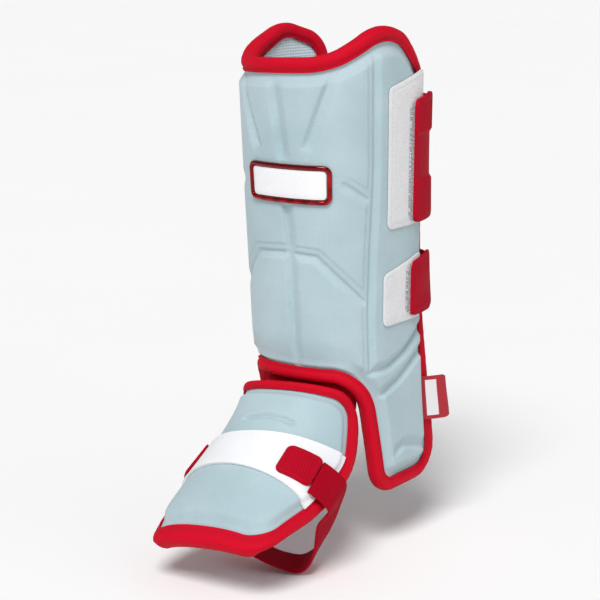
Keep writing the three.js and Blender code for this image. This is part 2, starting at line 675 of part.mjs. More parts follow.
// Elastic straps from the tabs' back edges round behind the calf to the inner side
function calfStrap(height, width) {
  const from = TAB_RIGHT + LAYER_GAP;
  const to = fullTurn - halfWrap + STRAP_END;
  const grid = [];
  for (let i = 0; i <= 18; i += 1) {
    const line = [-0.5, 0.5].map((side) => (
      new THREE.Vector2(from + (to - from) * i / 18, height + side * width)));
    grid.push(line);
  }
  const lift = (around) => tabLift + (LAYER_GAP - tabLift) * (around - from) / (to - from);
  return wall(
    grid,
    (place) => onShin(place.x, place.y, lift(place.x) + STRAP_CLOTH),
    (place) => onShin(place.x, place.y, lift(place.x)),
  );
}
for (const [name, share] of Object.entries(UPPER_STRAPS)) {
  const height = (UPPER_TAB.low + share * (UPPER_TAB.high - UPPER_TAB.low)) * GUARD_HEIGHT;
  addPiece(name, calfStrap(height, UPPER_STRAP_WIDTH), DARK_RED, 0.85);
}
const lowerStrapHeight = (LOWER_TAB.low + LOWER_TAB.high) / 2 * GUARD_HEIGHT;
addPiece('lower_strap', calfStrap(lowerStrapHeight, LOWER_STRAP_WIDTH), DARK_RED, 0.85);

// White band across the instep, from just inside one bound rim to the other
const BAND_LOW = 0.37 * FOOT_LENGTH;
const BAND_WIDTH = 0.235 * FOOT_LENGTH;
const BAND_FALL = 0.07 * FOOT_LENGTH;
const BAND_FLARE = 0.06 * FOOT_LENGTH;
const bandLift = LAYER_GAP + BAND_ROOM;
const bandGrid = [];
for (let i = 0; i <= 22; i += 1) {
  const side = i / 11 - 1;
  const low = BAND_LOW - BAND_FALL * Math.abs(side) ** 1.5;
  const high = BAND_LOW + BAND_WIDTH + BAND_FLARE * side;
  const half = footHalfArc((low + high) / 2) - BINDING_WIDTH - 1;
  bandGrid.push([0, 1, 2, 3].map((j) => new THREE.Vector2(side * half, low + (high - low) * j / 3)));
}
const overFoot = (lift) => (place) => onFoot(place.x, place.y, Math.max(footRelief(place), -1) + lift);
addPiece('foot_band', wall(bandGrid, overFoot(bandLift + BAND_CLOTH), overFoot(bandLift)), WHITE, 0.8);

// Hook tab of the sole strap, lying on the band towards its outer end
const FOOT_TAB_ALONG = 0.47 * FOOT_LENGTH;
const FOOT_TAB_HALF = FOOT_STRAP_WIDTH / 2 - 1;
const FOOT_TAB_FROM = 0.60 * FOOT_HALF_WIDTH;
const FOOT_TAB_TO = 1.06 * FOOT_HALF_WIDTH;
const footTabLift = bandLift + BAND_CLOTH + LAYER_GAP;
const footTabPanel = roundedPanel(
  FOOT_TAB_FROM, FOOT_TAB_TO,
  FOOT_TAB_ALONG - FOOT_TAB_HALF, FOOT_TAB_ALONG + FOOT_TAB_HALF, 5, 4,
);
addPiece('foot_strap_tab', wall(
  filledGrid(footTabPanel.loop, footTabPanel.turns, 4, 4),
  (place) => onFoot(place.x, place.y, footTabLift + FOOT_TAB),
  (place) => onFoot(place.x, place.y, footTabLift),
), RED, 0.5);

// Sole strap: down over the outer rim, under the sole and up to the inner side of the guard.
// out is a share of FOOT_HALF_WIDTH, rise of INSTEP_HEIGHT, back of FOOT_REACH. swing is how
// far the strap's width turns inwards behind, in degrees.
const SOLE_ROUTE = [
  { out: 0.97, back: 0.441, rise: 0.350, swing: 4 },
  { out: 0.89, back: 0.444, rise: 0.190, swing: 19 },
  { out: 0.79, back: 0.447, rise: 0.112, swing: 25 },
  { out: 0.62, back: 0.453, rise: 0.070, swing: 30 },
  { out: 0.40, back: 0.490, rise: 0.082, swing: 32 },
  { out: 0.12, back: 0.550, rise: 0.136, swing: 30 },
  { out: -0.40, back: 0.530, rise: 0.245, swing: 15 },
  { out: -0.86, back: 0.470, rise: 0.375, swing: 0 },
];
const strapAlong = FOOT_TAB_ALONG - FOOT_STRAP_WIDTH / 10;
const strapSpan = FOOT_STRAP_WIDTH / 4;
const strapSideLift = footTabLift + BAND_ROOM;
const RIM_CLEAR = 3;            // the strap leaves the guard this far short of its rim
const rimOut = footHalfArc(strapAlong);
const STRAP_LEAN = 14 * Math.PI / 180;  // how far its width rises towards the back
const onGuard = (across, lift) => {
  const middle = onFoot(across, strapAlong, lift);
  const side = onFoot(across, strapAlong + strapSpan, lift)
    .sub(onFoot(across, strapAlong - strapSpan, lift));
  return { middle, side: side.normalize() };
};
const RUN_STEPS = 4;
const guardRun = (from, to) => {
  const run = [];
  for (let k = 0; k <= RUN_STEPS; k += 1) {
    run.push(onGuard(from + (to - from) * k / RUN_STEPS, strapSideLift));
  }
  return run;
};
const soleStations = [
  ...guardRun(FOOT_TAB_TO + LAYER_GAP, rimOut - RIM_CLEAR),
  ...SOLE_ROUTE.map(({ out, back, rise, swing }) => ({
    middle: new THREE.Vector3(out * FOOT_HALF_WIDTH, -back * FOOT_REACH, rise * INSTEP_HEIGHT),
    side: new THREE.Vector3(0, Math.cos(STRAP_LEAN), Math.sin(STRAP_LEAN))
      .applyAxisAngle(new THREE.Vector3(0, 0, 1), swing * Math.PI / 180),
  })),
  ...guardRun(RIM_CLEAR - rimOut, FOOT_ANCHOR - FOOT_TAB_TO),
];
const soleCurve = new THREE.CatmullRomCurve3(soleStations.map(({ middle }) => middle), false, 'centripetal');
const sideCurve = new THREE.CatmullRomCurve3(soleStations.map(({ side }) => side), false, 'centripetal');
const SOLE_STEPS = 34;
const soleGrid = [];
for (let i = 0; i <= SOLE_STEPS; i += 1) {
  soleGrid.push([-0.5, 0.5].map((side) => new THREE.Vector2(i / SOLE_STEPS, side)));
}
function solePlace(share, side, thickness) {
  const tangent = soleCurve.getTangent(share);
  const across = sideCurve.getPoint(share).normalize();
  const outwards = new THREE.Vector3().crossVectors(tangent, across).normalize();
  return soleCurve.getPoint(share)
    .addScaledVector(across, side * FOOT_STRAP_WIDTH)
    .addScaledVector(outwards, thickness);
}
addPiece('foot_strap', wall(
  soleGrid,
  (place) => solePlace(place.x, place.y, FOOT_STRAP_CLOTH),
  (place) => solePlace(place.x, place.y, 0),
), DARK_RED, 0.85);

// Small tag in the back seam of the outer side
const TAG_AROUND = 0.953 * halfWrap;
const TAG_RISE = 0.279 * GUARD_HEIGHT;
const tagRoot = -SHIN_RIM_DROP + 2 * LAYER_GAP;
const tagGrid = [0, 0.25, 0.5, 0.75, 1].map((share) => [-0.5, 0, 0.5].map((side) => (
  new THREE.Vector2(share, TAG_RISE + side * TAG_LENGTH))));
const tagPlace = (shift) => (place) => {
  const lean = TAG_REACH * TAG_LEAN * place.x ** 2;
  return onShin(TAG_AROUND + lean + shift, place.y, tagRoot + place.x * TAG_REACH);
};
addPiece('side_tag', wall(tagGrid, tagPlace(0), tagPlace(TAG_CLOTH)), WHITE, 0.7);

// The frame's origin is where the lining lies on the front of the shin, at mid height
const SEAT_RISE = 0.57 * GUARD_HEIGHT;
const seat = onShin(0, SEAT_RISE, liningFace - LINING);
guard.position.set(-seat.x, -seat.y, -seat.z);

export default guard;
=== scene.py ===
import math

import bmesh
import bpy
import numpy as np
from mathutils import Matrix, Vector


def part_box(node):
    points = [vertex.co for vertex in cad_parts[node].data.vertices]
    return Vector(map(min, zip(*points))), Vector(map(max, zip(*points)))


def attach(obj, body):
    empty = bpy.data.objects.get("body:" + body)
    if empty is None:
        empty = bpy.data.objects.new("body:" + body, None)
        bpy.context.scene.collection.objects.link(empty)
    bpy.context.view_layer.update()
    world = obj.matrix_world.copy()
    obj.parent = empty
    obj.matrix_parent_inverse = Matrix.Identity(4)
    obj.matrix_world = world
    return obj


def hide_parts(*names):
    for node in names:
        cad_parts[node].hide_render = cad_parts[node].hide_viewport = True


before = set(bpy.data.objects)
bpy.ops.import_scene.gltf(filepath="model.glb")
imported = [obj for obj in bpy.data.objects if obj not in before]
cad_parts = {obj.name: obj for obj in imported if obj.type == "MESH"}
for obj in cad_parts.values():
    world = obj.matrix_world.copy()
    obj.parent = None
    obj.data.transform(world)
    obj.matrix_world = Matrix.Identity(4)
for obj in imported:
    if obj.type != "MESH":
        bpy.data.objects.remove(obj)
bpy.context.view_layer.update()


# Shin shell. A wall of foam about 9 mm thick, moulded to the shin and both sides of the calf,
# with a matt knitted cloth bonded to its face. The mould presses channels into it, and a bevel
# runs all round down to the thin rim that the edge tape binds. Sizes are in millimetres.
MM = 0.001
GUARD_HEIGHT = 396.0
CALF_HALF_WIDTH = 62.5
SHIN_DEPTH = 63.0
CALF_DEPTH = 82.0
HALF_WRAP = 151.0
CORNER = 24.0
FOAM = 9.0
LINING = 2.4
LAYER_GAP = 0.4
LINING_FACE = -FOAM - LAYER_GAP
SHIN_RIM_DROP = 5.0
BEVEL = 7.5
BINDING_WIDTH = 9.5
RIM_WIDTH = BINDING_WIDTH + 2.6
SHIN_SQUARE = 2.35
SHIN_TUCK = 2.9
SEAT_RISE = 0.57
ARCH_RISE = 0.351
WRAP_STEPS = 2400
WRAP_END = 1.6 * math.pi

# Sections: rise is a share of the height, half and shift of the half width, front and back of
# the two depths, and square is how nearly the back is a rectangle
SHIN_COLUMNS = ("rise", "half", "front", "back", "shift", "square")
SHIN_SECTIONS = [
    (0.066, 0.912, 0.746, 1.317, 0.096, 3.6), (0.192, 0.904, 0.746, 1.293, 0.096, 3.6),
    (0.318, 0.896, 0.778, 1.171, 0.080, 3.2), (0.470, 0.912, 0.825, 1.037, 0.064, 2.8),
    (0.697, 0.952, 0.905, 0.976, 0.045, 2.6), (1.000, 0.990, 1.000, 1.000, 0.014, 2.6),
]

# The flat cut of the wall: each corner's place round, as a share of the half wrap, its rise, as a
# share of the height, and its radius, as a share of an ordinary corner
SHIN_OUTLINE = [
    (-0.993, 0.222, 0.85), (-0.596, 0.202, 1.0), (-0.397, ARCH_RISE, 1.0), (0.411, ARCH_RISE, 1.4),
    (0.530, 0.126, 0.85), (1.033, 0.131, 1.0), (1.007, 0.899, 1.15), (0.596, 1.023, 1.9),
    (0.225, 0.949, 2.5), (-0.331, 0.939, 2.1), (-0.742, 0.996, 1.65), (-1.046, 0.962, 0.95),
]

# Channel profiles: millimetres across, from the left of the run, against the depth there
STEPPED = [(-6.8, 0.0), (-6.0, 0.9), (-2.2, 1.1), (-1.0, 2.7), (0.4, 2.8), (5.4, 0.0)]
VALLEY = [(-3.4, 0.0), (-0.4, 3.3), (0.4, 3.3), (7.4, 0.0)]
CENTRE = [(-7.0, 0.0), (-0.4, 3.3), (2.8, 3.5), (3.9, 0.0)]
ANKLE = [(-3.4, 0.0), (-0.4, 3.4), (0.8, 3.4), (7.4, 0.0)]

# The channels: profile, share of its depth, whether the inner side has it too, and its flat run
CHANNELS = [
    (CENTRE, 1.0, False, [(-0.040, 0.960), (-0.015, 0.864), (0.013, 0.765)]),
    (CENTRE, 1.0, False, [(0.018, 0.684), (0.030, 0.600), (0.040, 0.365)]),
    (VALLEY, 1.1, True, [(0.126, 0.785), (0.215, 0.879), (0.285, 0.953)]),
    (STEPPED, 0.85, True, [(0.300, 0.725), (0.443, 0.688)]),
    (STEPPED, 0.9, True, [(-0.040, 0.593), (0.030, 0.592), (0.172, 0.588), (0.430, 0.497)]),
    (STEPPED, 1.0, True, [
        (0.460, 0.358), (0.446, 0.480), (0.452, 0.598), (0.470, 0.747), (0.466, 0.960)]),
    (ANKLE, 1.1, True, [
        (0.930, 0.428), (0.861, 0.409), (0.760, 0.388), (0.603, 0.368), (0.440, 0.364)]),
    (ANKLE, 1.0, True, [(0.930, 0.382), (0.699, 0.338), (0.520, 0.316)]),
    (ANKLE, 0.8, False, [(0.940, 0.186), (0.728, 0.208), (0.640, 0.196)]),
]


def cubic(start, end, start_slope, end_slope, step, t):
    """A smooth curve from start to end at shares t of a step, with the slope at each end."""
    return (
        start * (1 + 2 * t) * (1 - t) ** 2 + start_slope * step * t * (1 - t) ** 2
        + end * t * t * (3 - 2 * t) + end_slope * step * t * t * (t - 1))


def between_rows(columns, table, places):
    """Each column of a table of sections, carried smoothly to places along its first column."""
    at, *rest = np.array(table).T
    x = np.clip(places, at[0], at[-1])
    k = np.clip(np.searchsorted(at, x, side="left") - 1, 0, len(at) - 2)
    step = at[k + 1] - at[k]
    t = (x - at[k]) / step
    low = np.maximum(np.arange(len(at)) - 1, 0)
    high = np.minimum(np.arange(len(at)) + 1, len(at) - 1)
    carried = {}
    for name, y in zip(columns[1:], rest):
        slope = (y[high] - y[low]) / (at[high] - at[low])
        carried[name] = cubic(y[k], y[k + 1], slope[k], slope[k + 1], step, t)
    return carried


def rounded_radius(side, front, half, depth, square):
    """Radius of a rounded rectangle in the direction (side, front)."""
    return ((np.abs(side) / half) ** square + (np.abs(front) / depth) ** square) ** (-1 / square)


def shin_at_angle(angle, height, lift):
    """Points of the shin wall at an angle round the leg, at a height, lifted off its form."""
    row = between_rows(SHIN_COLUMNS, SHIN_SECTIONS, height / GUARD_HEIGHT)
    side = np.sin(angle)
    front = np.cos(angle)
    depth = np.where(front >= 0, row["front"] * SHIN_DEPTH, row["back"] * CALF_DEPTH)
    square = np.where(front >= 0, SHIN_SQUARE, row["square"])
    half = row["half"] * CALF_HALF_WIDTH
    radius = rounded_radius(side, front, half + lift, depth + lift, square)
    middle = row["shift"] * CALF_HALF_WIDTH
    return np.stack([middle + radius * side, -radius * front, height + 0 * radius], axis=-1)


def unit(vectors):
    return vectors / np.linalg.norm(vectors, axis=-1, keepdims=True)


def run_lengths(points):
    """The distance walked along a run to each of its points."""
    steps = np.linalg.norm(np.diff(points, axis=0), axis=1)
    return np.concatenate([[0.0], np.cumsum(steps)])


seat_height = SEAT_RISE * GUARD_HEIGHT
wrap_angles = np.linspace(-math.pi, WRAP_END, WRAP_STEPS + 1)
wrap_lengths = run_lengths(
    shin_at_angle(wrap_angles, np.full_like(wrap_angles, seat_height), 0.0))
front_length = np.interp(0.0, wrap_angles, wrap_lengths)
FULL_TURN = (
    np.interp(1.5 * math.pi, wrap_angles, wrap_lengths)
    - np.interp(-0.5 * math.pi, wrap_angles, wrap_lengths))


def on_shin(around, height, lift):
    """Points of the shin wall: flat distance round from the front line, height, lift off it."""
    around, height, lift = np.broadcast_arrays(around, height, lift)
    return shin_at_angle(np.interp(around + front_length, wrap_lengths, wrap_angles), height, lift)


SEAT = on_shin(np.zeros(1), seat_height, LINING_FACE - LINING)[0]


CORNER_STEPS = 17
CORNER_HANDLE = 0.56
CORNER_MOST = 0.49


def rounded_loop(corners, step):
    """The corners (x, y, radius) of a flat cut, rounded and stepped evenly round."""
    places = np.array([corner[:2] for corner in corners])
    sides = np.roll(places, -1, axis=0) - places
    lengths = np.linalg.norm(sides, axis=1)
    points = []
    for k, corner in enumerate(corners):
        before = sides[k - 1] / lengths[k - 1]
        after = sides[k] / lengths[k]
        turn = abs(math.atan2(before[0] * after[1] - before[1] * after[0], before @ after))
        most = CORNER_MOST * min(lengths[k - 1], lengths[k])
        cut = min(corner[2] * math.tan(turn / 2), most)
        start = places[k] - before * cut
        end = places[k] + after * cut
        leaving = start + before * cut * CORNER_HANDLE
        arriving = end - after * cut * CORNER_HANDLE
        for t in np.linspace(0, 1, CORNER_STEPS):
            points.append(
                start * (1 - t) ** 3 + 3 * leaving * t * (1 - t) ** 2
                + 3 * arriving * t * t * (1 - t) + end * t ** 3)
    points = np.array(points + [points[0]])
    lengths = run_lengths(points)
    at = np.linspace(0, lengths[-1], round(lengths[-1] / step) + 1)[:-1]
    return np.stack([np.interp(at, lengths, points[:, k]) for k in (0, 1)], axis=-1)


def inward_normals(loop):
    """The flat direction from each point of a loop to its inside."""
    along = unit(np.roll(loop, -1, axis=0) - np.roll(loop, 1, axis=0))
    return np.stack([-along[:, 1], along[:, 0]], axis=-1)


def inset_loop(loop, distance):
    return loop + inward_normals(loop) * distance


def nearest_on_run(places, run):
    """Distance to a flat run, negative on its left, the length passed there, and its length."""
    nearest = np.full(len(places), 1e9)
    signed = np.zeros(len(places))
    passed = np.zeros(len(places))
    walked = 0.0
    for start, end in zip(run[:-1], run[1:]):
        side = end - start
        length = np.linalg.norm(side)
        off = places - start
        t = np.clip(off @ side / length ** 2, 0, 1)
        distance = np.linalg.norm(off - t[:, None] * side, axis=1)
        closer = distance < nearest
        turned = np.sign(off[:, 1] * side[0] - off[:, 0] * side[1])
        nearest = np.where(closer, distance, nearest)
        signed = np.where(closer, -distance * turned, signed)
        passed = np.where(closer, walked + t * length, passed)
        walked += length
    return signed, passed, walked


def edge_distance(places, loop):
    return np.abs(nearest_on_run(places, np.concatenate([loop, loop[:1]]))[0])


def smooth_rise(x, low, high):
    t = np.clip((x - low) / (high - low), 0, 1)
    return t * t * (3 - 2 * t)


def crisp_rise(x, low, high):
    """An even slope from 0 at low to 1 at high, its two ends only just rounded."""
    share = (x - low) / (high - low)
    return np.interp(share, [0.0, 0.18, 0.87, 1.0], [0.0, 0.12, 0.95, 1.0])


def flat_cut(loop, turns):
    """A rule that fills a flat loop: shares along its low and left sides to a place in it."""
    count = len(loop)
    starts = [int(np.argmin(np.linalg.norm(loop - turn, axis=1))) for turn in turns]

    def edge(k, shares):
        stop = starts[(k + 1) % 4]
        stations = np.arange(starts[k], stop + 1 + (count if stop <= starts[k] else 0)) % count
        points = loop[stations]
        lengths = run_lengths(points)
        at = shares * lengths[-1]
        return np.stack([np.interp(at, lengths, points[:, j]) for j in (0, 1)], axis=-1)

    def place(u, v):
        low, right, high, left = edge(0, u), edge(1, v), edge(2, 1 - u), edge(3, 1 - v)
        corners = [edge(k, np.zeros(1)) for k in range(4)]
        u = u[:, None]
        v = v[:, None]
        bare = (1 - v) * ((1 - u) * corners[0] + u * corners[1])
        bare += v * ((1 - u) * corners[3] + u * corners[2])
        return (1 - u) * left + u * right + (1 - v) * low + v * high - bare

    return place


def layer(cut, form, outer, inner):
    """How a layer lies: a flat cut on its form, from its inner lift out to outer(flat)."""
    def lay(u, v, side):
        flat = cut(u, v)
        facing = side > 0.5
        lift = np.full(len(u), inner)
        lift[facing] = outer(flat[facing])
        return form(*flat.T, lift), flat

    return lay


def laid_piece(name, columns, rows, lay, swept=False):
    """A flat blank of cloth, foam or tape, laid on its form, or swept round and closed on itself.

    lay takes the blank's shares (u, v) and its side (1 outside, 0 inside), and returns the
    places in millimetres on the leg and the flat places that the cloth's pattern follows.
    """
    blank = bmesh.new()
    blank.loops.layers.uv.new("flat")
    bmesh.ops.create_grid(blank, x_segments=columns, y_segments=rows, size=0.5)
    if not swept:
        bmesh.ops.solidify(blank, geom=blank.faces[:], thickness=1.0)
    mesh = bpy.data.meshes.new(name)
    blank.to_mesh(mesh)
    blank.free()
    corners = np.empty(len(mesh.vertices) * 3)
    mesh.vertices.foreach_get("co", corners)
    corners = corners.reshape(-1, 3)
    places, flat = lay(corners[:, 0] + 0.5, corners[:, 1] + 0.5, np.round(corners[:, 2] + 1))
    mesh.vertices.foreach_set("co", ((places - SEAT) * MM).astype(np.float32).ravel())
    used = np.empty(len(mesh.loops), dtype=np.int32)
    mesh.loops.foreach_get("vertex_index", used)
    mesh.uv_layers["flat"].data.foreach_set("uv", (flat[used] * MM).astype(np.float32).ravel())
    shaped = bmesh.new()
    shaped.from_mesh(mesh)
    if swept:
        bmesh.ops.remove_doubles(shaped, verts=shaped.verts[:], dist=1e-6)
    bmesh.ops.recalc_face_normals(shaped, faces=shaped.faces[:])
    shaped.to_mesh(mesh)
    shaped.free()
    piece = bpy.data.objects.new(name, mesh)
    bpy.context.collection.objects.link(piece)
    return piece


def finished(piece, material, nodes=(), sharp=None, edge=0.0):
    """Gives a piece its material, its rounded edges and its place on the guard."""
    piece.data.materials.append(material)
    piece.data.polygons.foreach_set("use_smooth", [True] * len(piece.data.polygons))
    if sharp:
        piece.data.set_sharp_from_angle(angle=math.radians(sharp))
    if edge:
        bevel = piece.modifiers.new("edge", "BEVEL")
        bevel.width = edge * MM
        bevel.segments = 3
        bevel.limit_method = "ANGLE"
        bevel.angle_limit = math.radians(50)
        bevel.use_clamp_overlap = True
    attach(piece, "root")
    if nodes:
        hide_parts(*nodes)
    return piece


class Shade:
    """An output of a material's nodes. Arithmetic on it adds Math nodes."""

    def __init__(self, tree, socket=None):
        self.tree = tree
        self.socket = socket

    def node(self, kind, settings, sockets, output=0):
        made = self.tree.nodes.new(kind)
        for name, value in settings.items():
            setattr(made, name, value)
        for name, value in sockets.items():
            if isinstance(value, Shade):
                self.tree.links.new(value.socket, made.inputs[name])
            else:
                made.inputs[name].default_value = value
        return Shade(self.tree, made.outputs[output] if made.outputs else None)

    def maths(self, operation, *values):
        return self.node("ShaderNodeMath", {"operation": operation}, dict(enumerate(values)))

    def __add__(self, other):
        return self.maths("ADD", self, other)

    def __sub__(self, other):
        return self.maths("SUBTRACT", self, other)

    def __mul__(self, other):
        return self.maths("MULTIPLY", self, other)

    def __rsub__(self, other):
        return self.maths("SUBTRACT", other, self)

    __radd__ = __add__
    __rmul__ = __mul__

    def cells(self, scale, randomness):
        return self.node(
            "ShaderNodeTexVoronoi", {"feature": "F1"},
            {"Vector": self, "Scale": scale, "Randomness": randomness})

    def part(self, axis):
        return self.node("ShaderNodeSeparateXYZ", {}, {0: self}, axis)

    def noise(self, scale, detail=2.0, roughness=0.5):
        return self.node(
            "ShaderNodeTexNoise", {},
            {"Vector": self, "Scale": scale, "Detail": detail, "Roughness": roughness})

    def between(self, low, high):
        return self.node(
            "ShaderNodeMapRange", {"interpolation_type": "SMOOTHSTEP"},
            {"Value": self, "From Min": low, "From Max": high})

    def ribs(self, pitch, shift=0.0):
        """A soft wave of that pitch along a coordinate in metres, from 0 to 1."""
        wave = self * (2 * math.pi / pitch) + shift
        return self.maths("SINE", wave) * 0.5 + 0.5

    def mix(self, low, high):
        return self.node("ShaderNodeMix", {"data_type": "RGBA"}, {0: self, 6: low, 7: high}, 2)


def srgb(red, green, blue):
    """A colour as the eye reads it, 0 to 255, in Blender's linear numbers."""
    shares = [value / 255 for value in (red, green, blue)]
    linear = [c / 12.92 if c <= 0.04045 else ((c + 0.055) / 1.055) ** 2.4 for c in shares]
    return (*linear, 1.0)


def new_finish(name):
    """An empty material, with its flat coordinate and its coordinate on the object."""
    material = bpy.data.materials.new(name)
    material.use_nodes = True
    tree = material.node_tree
    tree.nodes.clear()
    start = Shade(tree)
    flat = start.node("ShaderNodeUVMap", {"uv_map": "flat"}, {})
    place = start.node("ShaderNodeTexCoord", {}, {}, 3)
    return material, flat, place


def close_finish(material, colour, roughness, height, depth, **constants):
    """Joins a finish's colour, roughness and relief to the surface."""
    sockets = {"Base Color": colour, "Roughness": roughness}
    sockets.update({name.replace("_", " "): value for name, value in constants.items()})
    if isinstance(height, Shade):
        sockets["Normal"] = height.node(
            "ShaderNodeBump", {}, {"Height": height, "Distance": depth, "Strength": 1.0})
    surface = colour.node("ShaderNodeBsdfPrincipled", {}, sockets)
    colour.node("ShaderNodeOutputMaterial", {}, {"Surface": surface})
    return material


def finish(name, dark, bright, patterns, roughness, depth=0.0, **constants):
    """A material between two colours. patterns takes the flat coordinate and the coordinate on
    the object, and gives rows of a pattern and its shares of colour, roughness and relief."""
    material, flat, place = new_finish(name)
    sums = [0.0, roughness, 0.0]
    for pattern, *shares in patterns(flat, place):
        for k, share in enumerate(shares):
            if share:
                sums[k] = pattern * share + sums[k]
    shade, roughness, height = sums
    colour = shade.mix(srgb(*dark), srgb(*bright))
    return close_finish(material, colour, roughness, height, depth, **constants)


LOOP_STEP = 2.0
shin_corners = [(a * HALF_WRAP, r * GUARD_HEIGHT, c * CORNER) for a, r, c in SHIN_OUTLINE]
shin_loop = rounded_loop(shin_corners, LOOP_STEP)
low_inner, low_outer, high_outer, high_inner = (0, 5, 6, 11)
shin_turns = [
    np.array(shin_corners[k][:2]) for k in (low_inner, low_outer, high_outer, high_inner)]
shin_cut = flat_cut(inset_loop(shin_loop, SHIN_TUCK), shin_turns)

# Over the arch the bevel is a long low swell, which fades out between these heights and these
# distances round. A channel's ends fade over CHANNEL_END and go on past its run at CHANNEL_TIP
SWELL_RISE = (150.0, 185.0)
SWELL_AROUND = (48.0, 66.0)
SWELL_LENGTH = 24.0
SWELL_SHARE = 0.58
CHANNEL_END = (-6, 7)
CHANNEL_TIP = 0.35


def shin_relief(flat):
    """Lift of the moulded face off its plain form: the bevel round it and the channels."""
    inwards = edge_distance(flat, shin_loop)
    arch = 1 - smooth_rise(flat[:, 1], *SWELL_RISE)
    arch *= 1 - smooth_rise(np.abs(flat[:, 0]), *SWELL_AROUND)
    face = crisp_rise(inwards, RIM_WIDTH, RIM_WIDTH + BEVEL)
    swell = (1 - SWELL_SHARE) * smooth_rise(inwards, BINDING_WIDTH, RIM_WIDTH)
    swell += SWELL_SHARE * smooth_rise(inwards, RIM_WIDTH - 1.0, RIM_WIDTH + SWELL_LENGTH)
    face = face + (swell - face) * arch
    depth = np.zeros(len(flat))
    for profile, scale, mirrored, run in CHANNELS:
        for side in (1, -1) if mirrored else (1,):
            path = np.array([(side * a * HALF_WRAP, r * GUARD_HEIGHT) for a, r in run])
            signed, passed, length = nearest_on_run(flat, path)
            across, depths = np.array(profile).T
            there = np.interp(signed * side, across, depths, left=0, right=0) * scale
            ends = smooth_rise(passed, *CHANNEL_END) * smooth_rise(length - passed, *CHANNEL_END)
            inside = np.where((passed <= 0) | (passed >= length), CHANNEL_TIP, 1.0)
            depth = np.maximum(depth, there * ends * np.maximum(inside, ends))
    return -SHIN_RIM_DROP * (1 - face) - depth * face


face_finish = finish("face_cloth", (160, 184, 191), (181, 200, 206), lambda flat, place: [
    (flat.part(0).ribs(0.0016) * flat.part(1).ribs(0.0013), 0.12, 0, 0.6),
    (flat.noise(900.0, 3.0), 0, 0.12, 0.5),
    (place.noise(16.0, 3.0).between(0.3, 0.7), 0.55, 0, 0),
    (place.noise(90.0, 4.0, 0.6), 0.35, 0, 0),
], 0.78, 0.00022, Sheen_Weight=0.18, Sheen_Roughness=0.5)
shin_shell = laid_piece("shin_wall", 236, 296, layer(shin_cut, on_shin, shin_relief, -FOAM))
finished(shin_shell, face_finish, ["shin_shell"])


# Shin lining. A spacer mesh 2.4 mm thick, pale blue with lighter threads round its holes, laid
# against the inside of the foam and caught under the edge tape.
mesh_finish = finish("spacer_mesh", (140, 188, 206), (234, 244, 247), lambda flat, place: [
    (flat.cells(460.0, 0.2).between(0.12, 0.42), 0.65, 0, 1),
    (flat.noise(1500.0, 2.0), 0.25, 0, 0.3),
    (place.noise(25.0, 2.0), 0.1, 0, 0),
], 0.85, 0.0004, Sheen_Weight=0.1)


def lining_piece(name, node, steps, cut, form, face):
    """The lining of a wall, from the face that lies on the foam in to the leg."""
    lay = layer(cut, form, lambda flat: face, face - LINING)
    lining = laid_piece(name, steps, steps, lay)
    finished(lining, mesh_finish, [node])


lining_piece("shin_mesh", "shin_lining", 96, shin_cut, on_shin, LINING_FACE)


# Shin binding. Red knitted tape folded over the rim and lockstitched through both its legs a
# little in from its edges, so that it puffs between the stitches and the fold.
BINDING_ROOM = 0.7
BINDING_CLOTH = 1.8
SHIN_PUFF = 1.5
PUCKER = 0.1
FOLD_ROW = 9
STITCH_ROWS = 6
STITCH_PITCH = 3.2
STITCH_STEPS = 6
STITCH_HALF = 0.37
STITCH_SINK = 0.5
THREAD_WAIST = 0.04
THREAD_BULGE = 0.36


def tape_section(outer_face, inner_face):
    """The folded tape's section: rows of distance in from the fold, lift, and share of the puff."""
    front = outer_face + BINDING_ROOM
    back = inner_face - BINDING_ROOM
    middle = (front + back) / 2
    width = BINDING_WIDTH
    cloth = BINDING_CLOTH
    return np.array([
        (width, front, 0), (width, front + 0.9, 0), (width - 0.6, front + 1.2, 0),
        (width - 2.2, front + 0.5, 0), (width - 3.2, front + 1.4, 0),
        (width - 5.2, front + cloth + 0.3, 0), (2.6, front + 1.9, 0.4), (0.9, front + 0.9, 0.8),
        (0.2, middle + 0.5 * (front - middle), 1), (0.0, middle, 1),
        (0.2, middle - 0.5 * (middle - back), 1), (0.9, back - 0.8, 0.8), (2.6, back - 1.7, 0.4),
        (width - 5.2, back - cloth, 0), (width - 3.2, back - 1.4, 0),
        (width - 2.2, back - 0.5, 0), (width - 0.6, back - 1.2, 0), (width, back - 0.9, 0),
        (width, back, 0), (BINDING_CLOTH, back, 0), (BINDING_CLOTH, front, 0), (width, front, 0),
    ])


def stitched(name, run, lift, sign, form):
    """Lockstitches an even pitch apart round a closed flat run, sunk a little into the cloth."""
    inwards = inward_normals(run)
    count = round(run_lengths(np.concatenate([run, run[:1]]))[-1] / STITCH_PITCH)

    def lay(u, v, side):
        at = u * len(run)
        k = at.astype(int) % len(run)
        t = (at - at.astype(int))[:, None]
        share = np.abs((u * count) % 1 - 0.5) / STITCH_HALF
        bulge = np.sqrt(np.clip(1 - share ** 2, 0, 1))
        radius = THREAD_WAIST + THREAD_BULGE * bulge
        turn = 2 * math.pi * v
        flat = run[k] * (1 - t) + run[(k + 1) % len(run)] * t
        flat = flat + inwards[k] * (radius * np.cos(turn))[:, None]
        sunk = sign * (0.1 - STITCH_SINK * (1 - bulge))
        return form(*flat.T, lift + sunk + 0.8 * radius * np.sin(turn)), flat

    stitches = laid_piece(name, count * STITCH_STEPS, 6, lay, swept=True)
    return finished(stitches, thread)


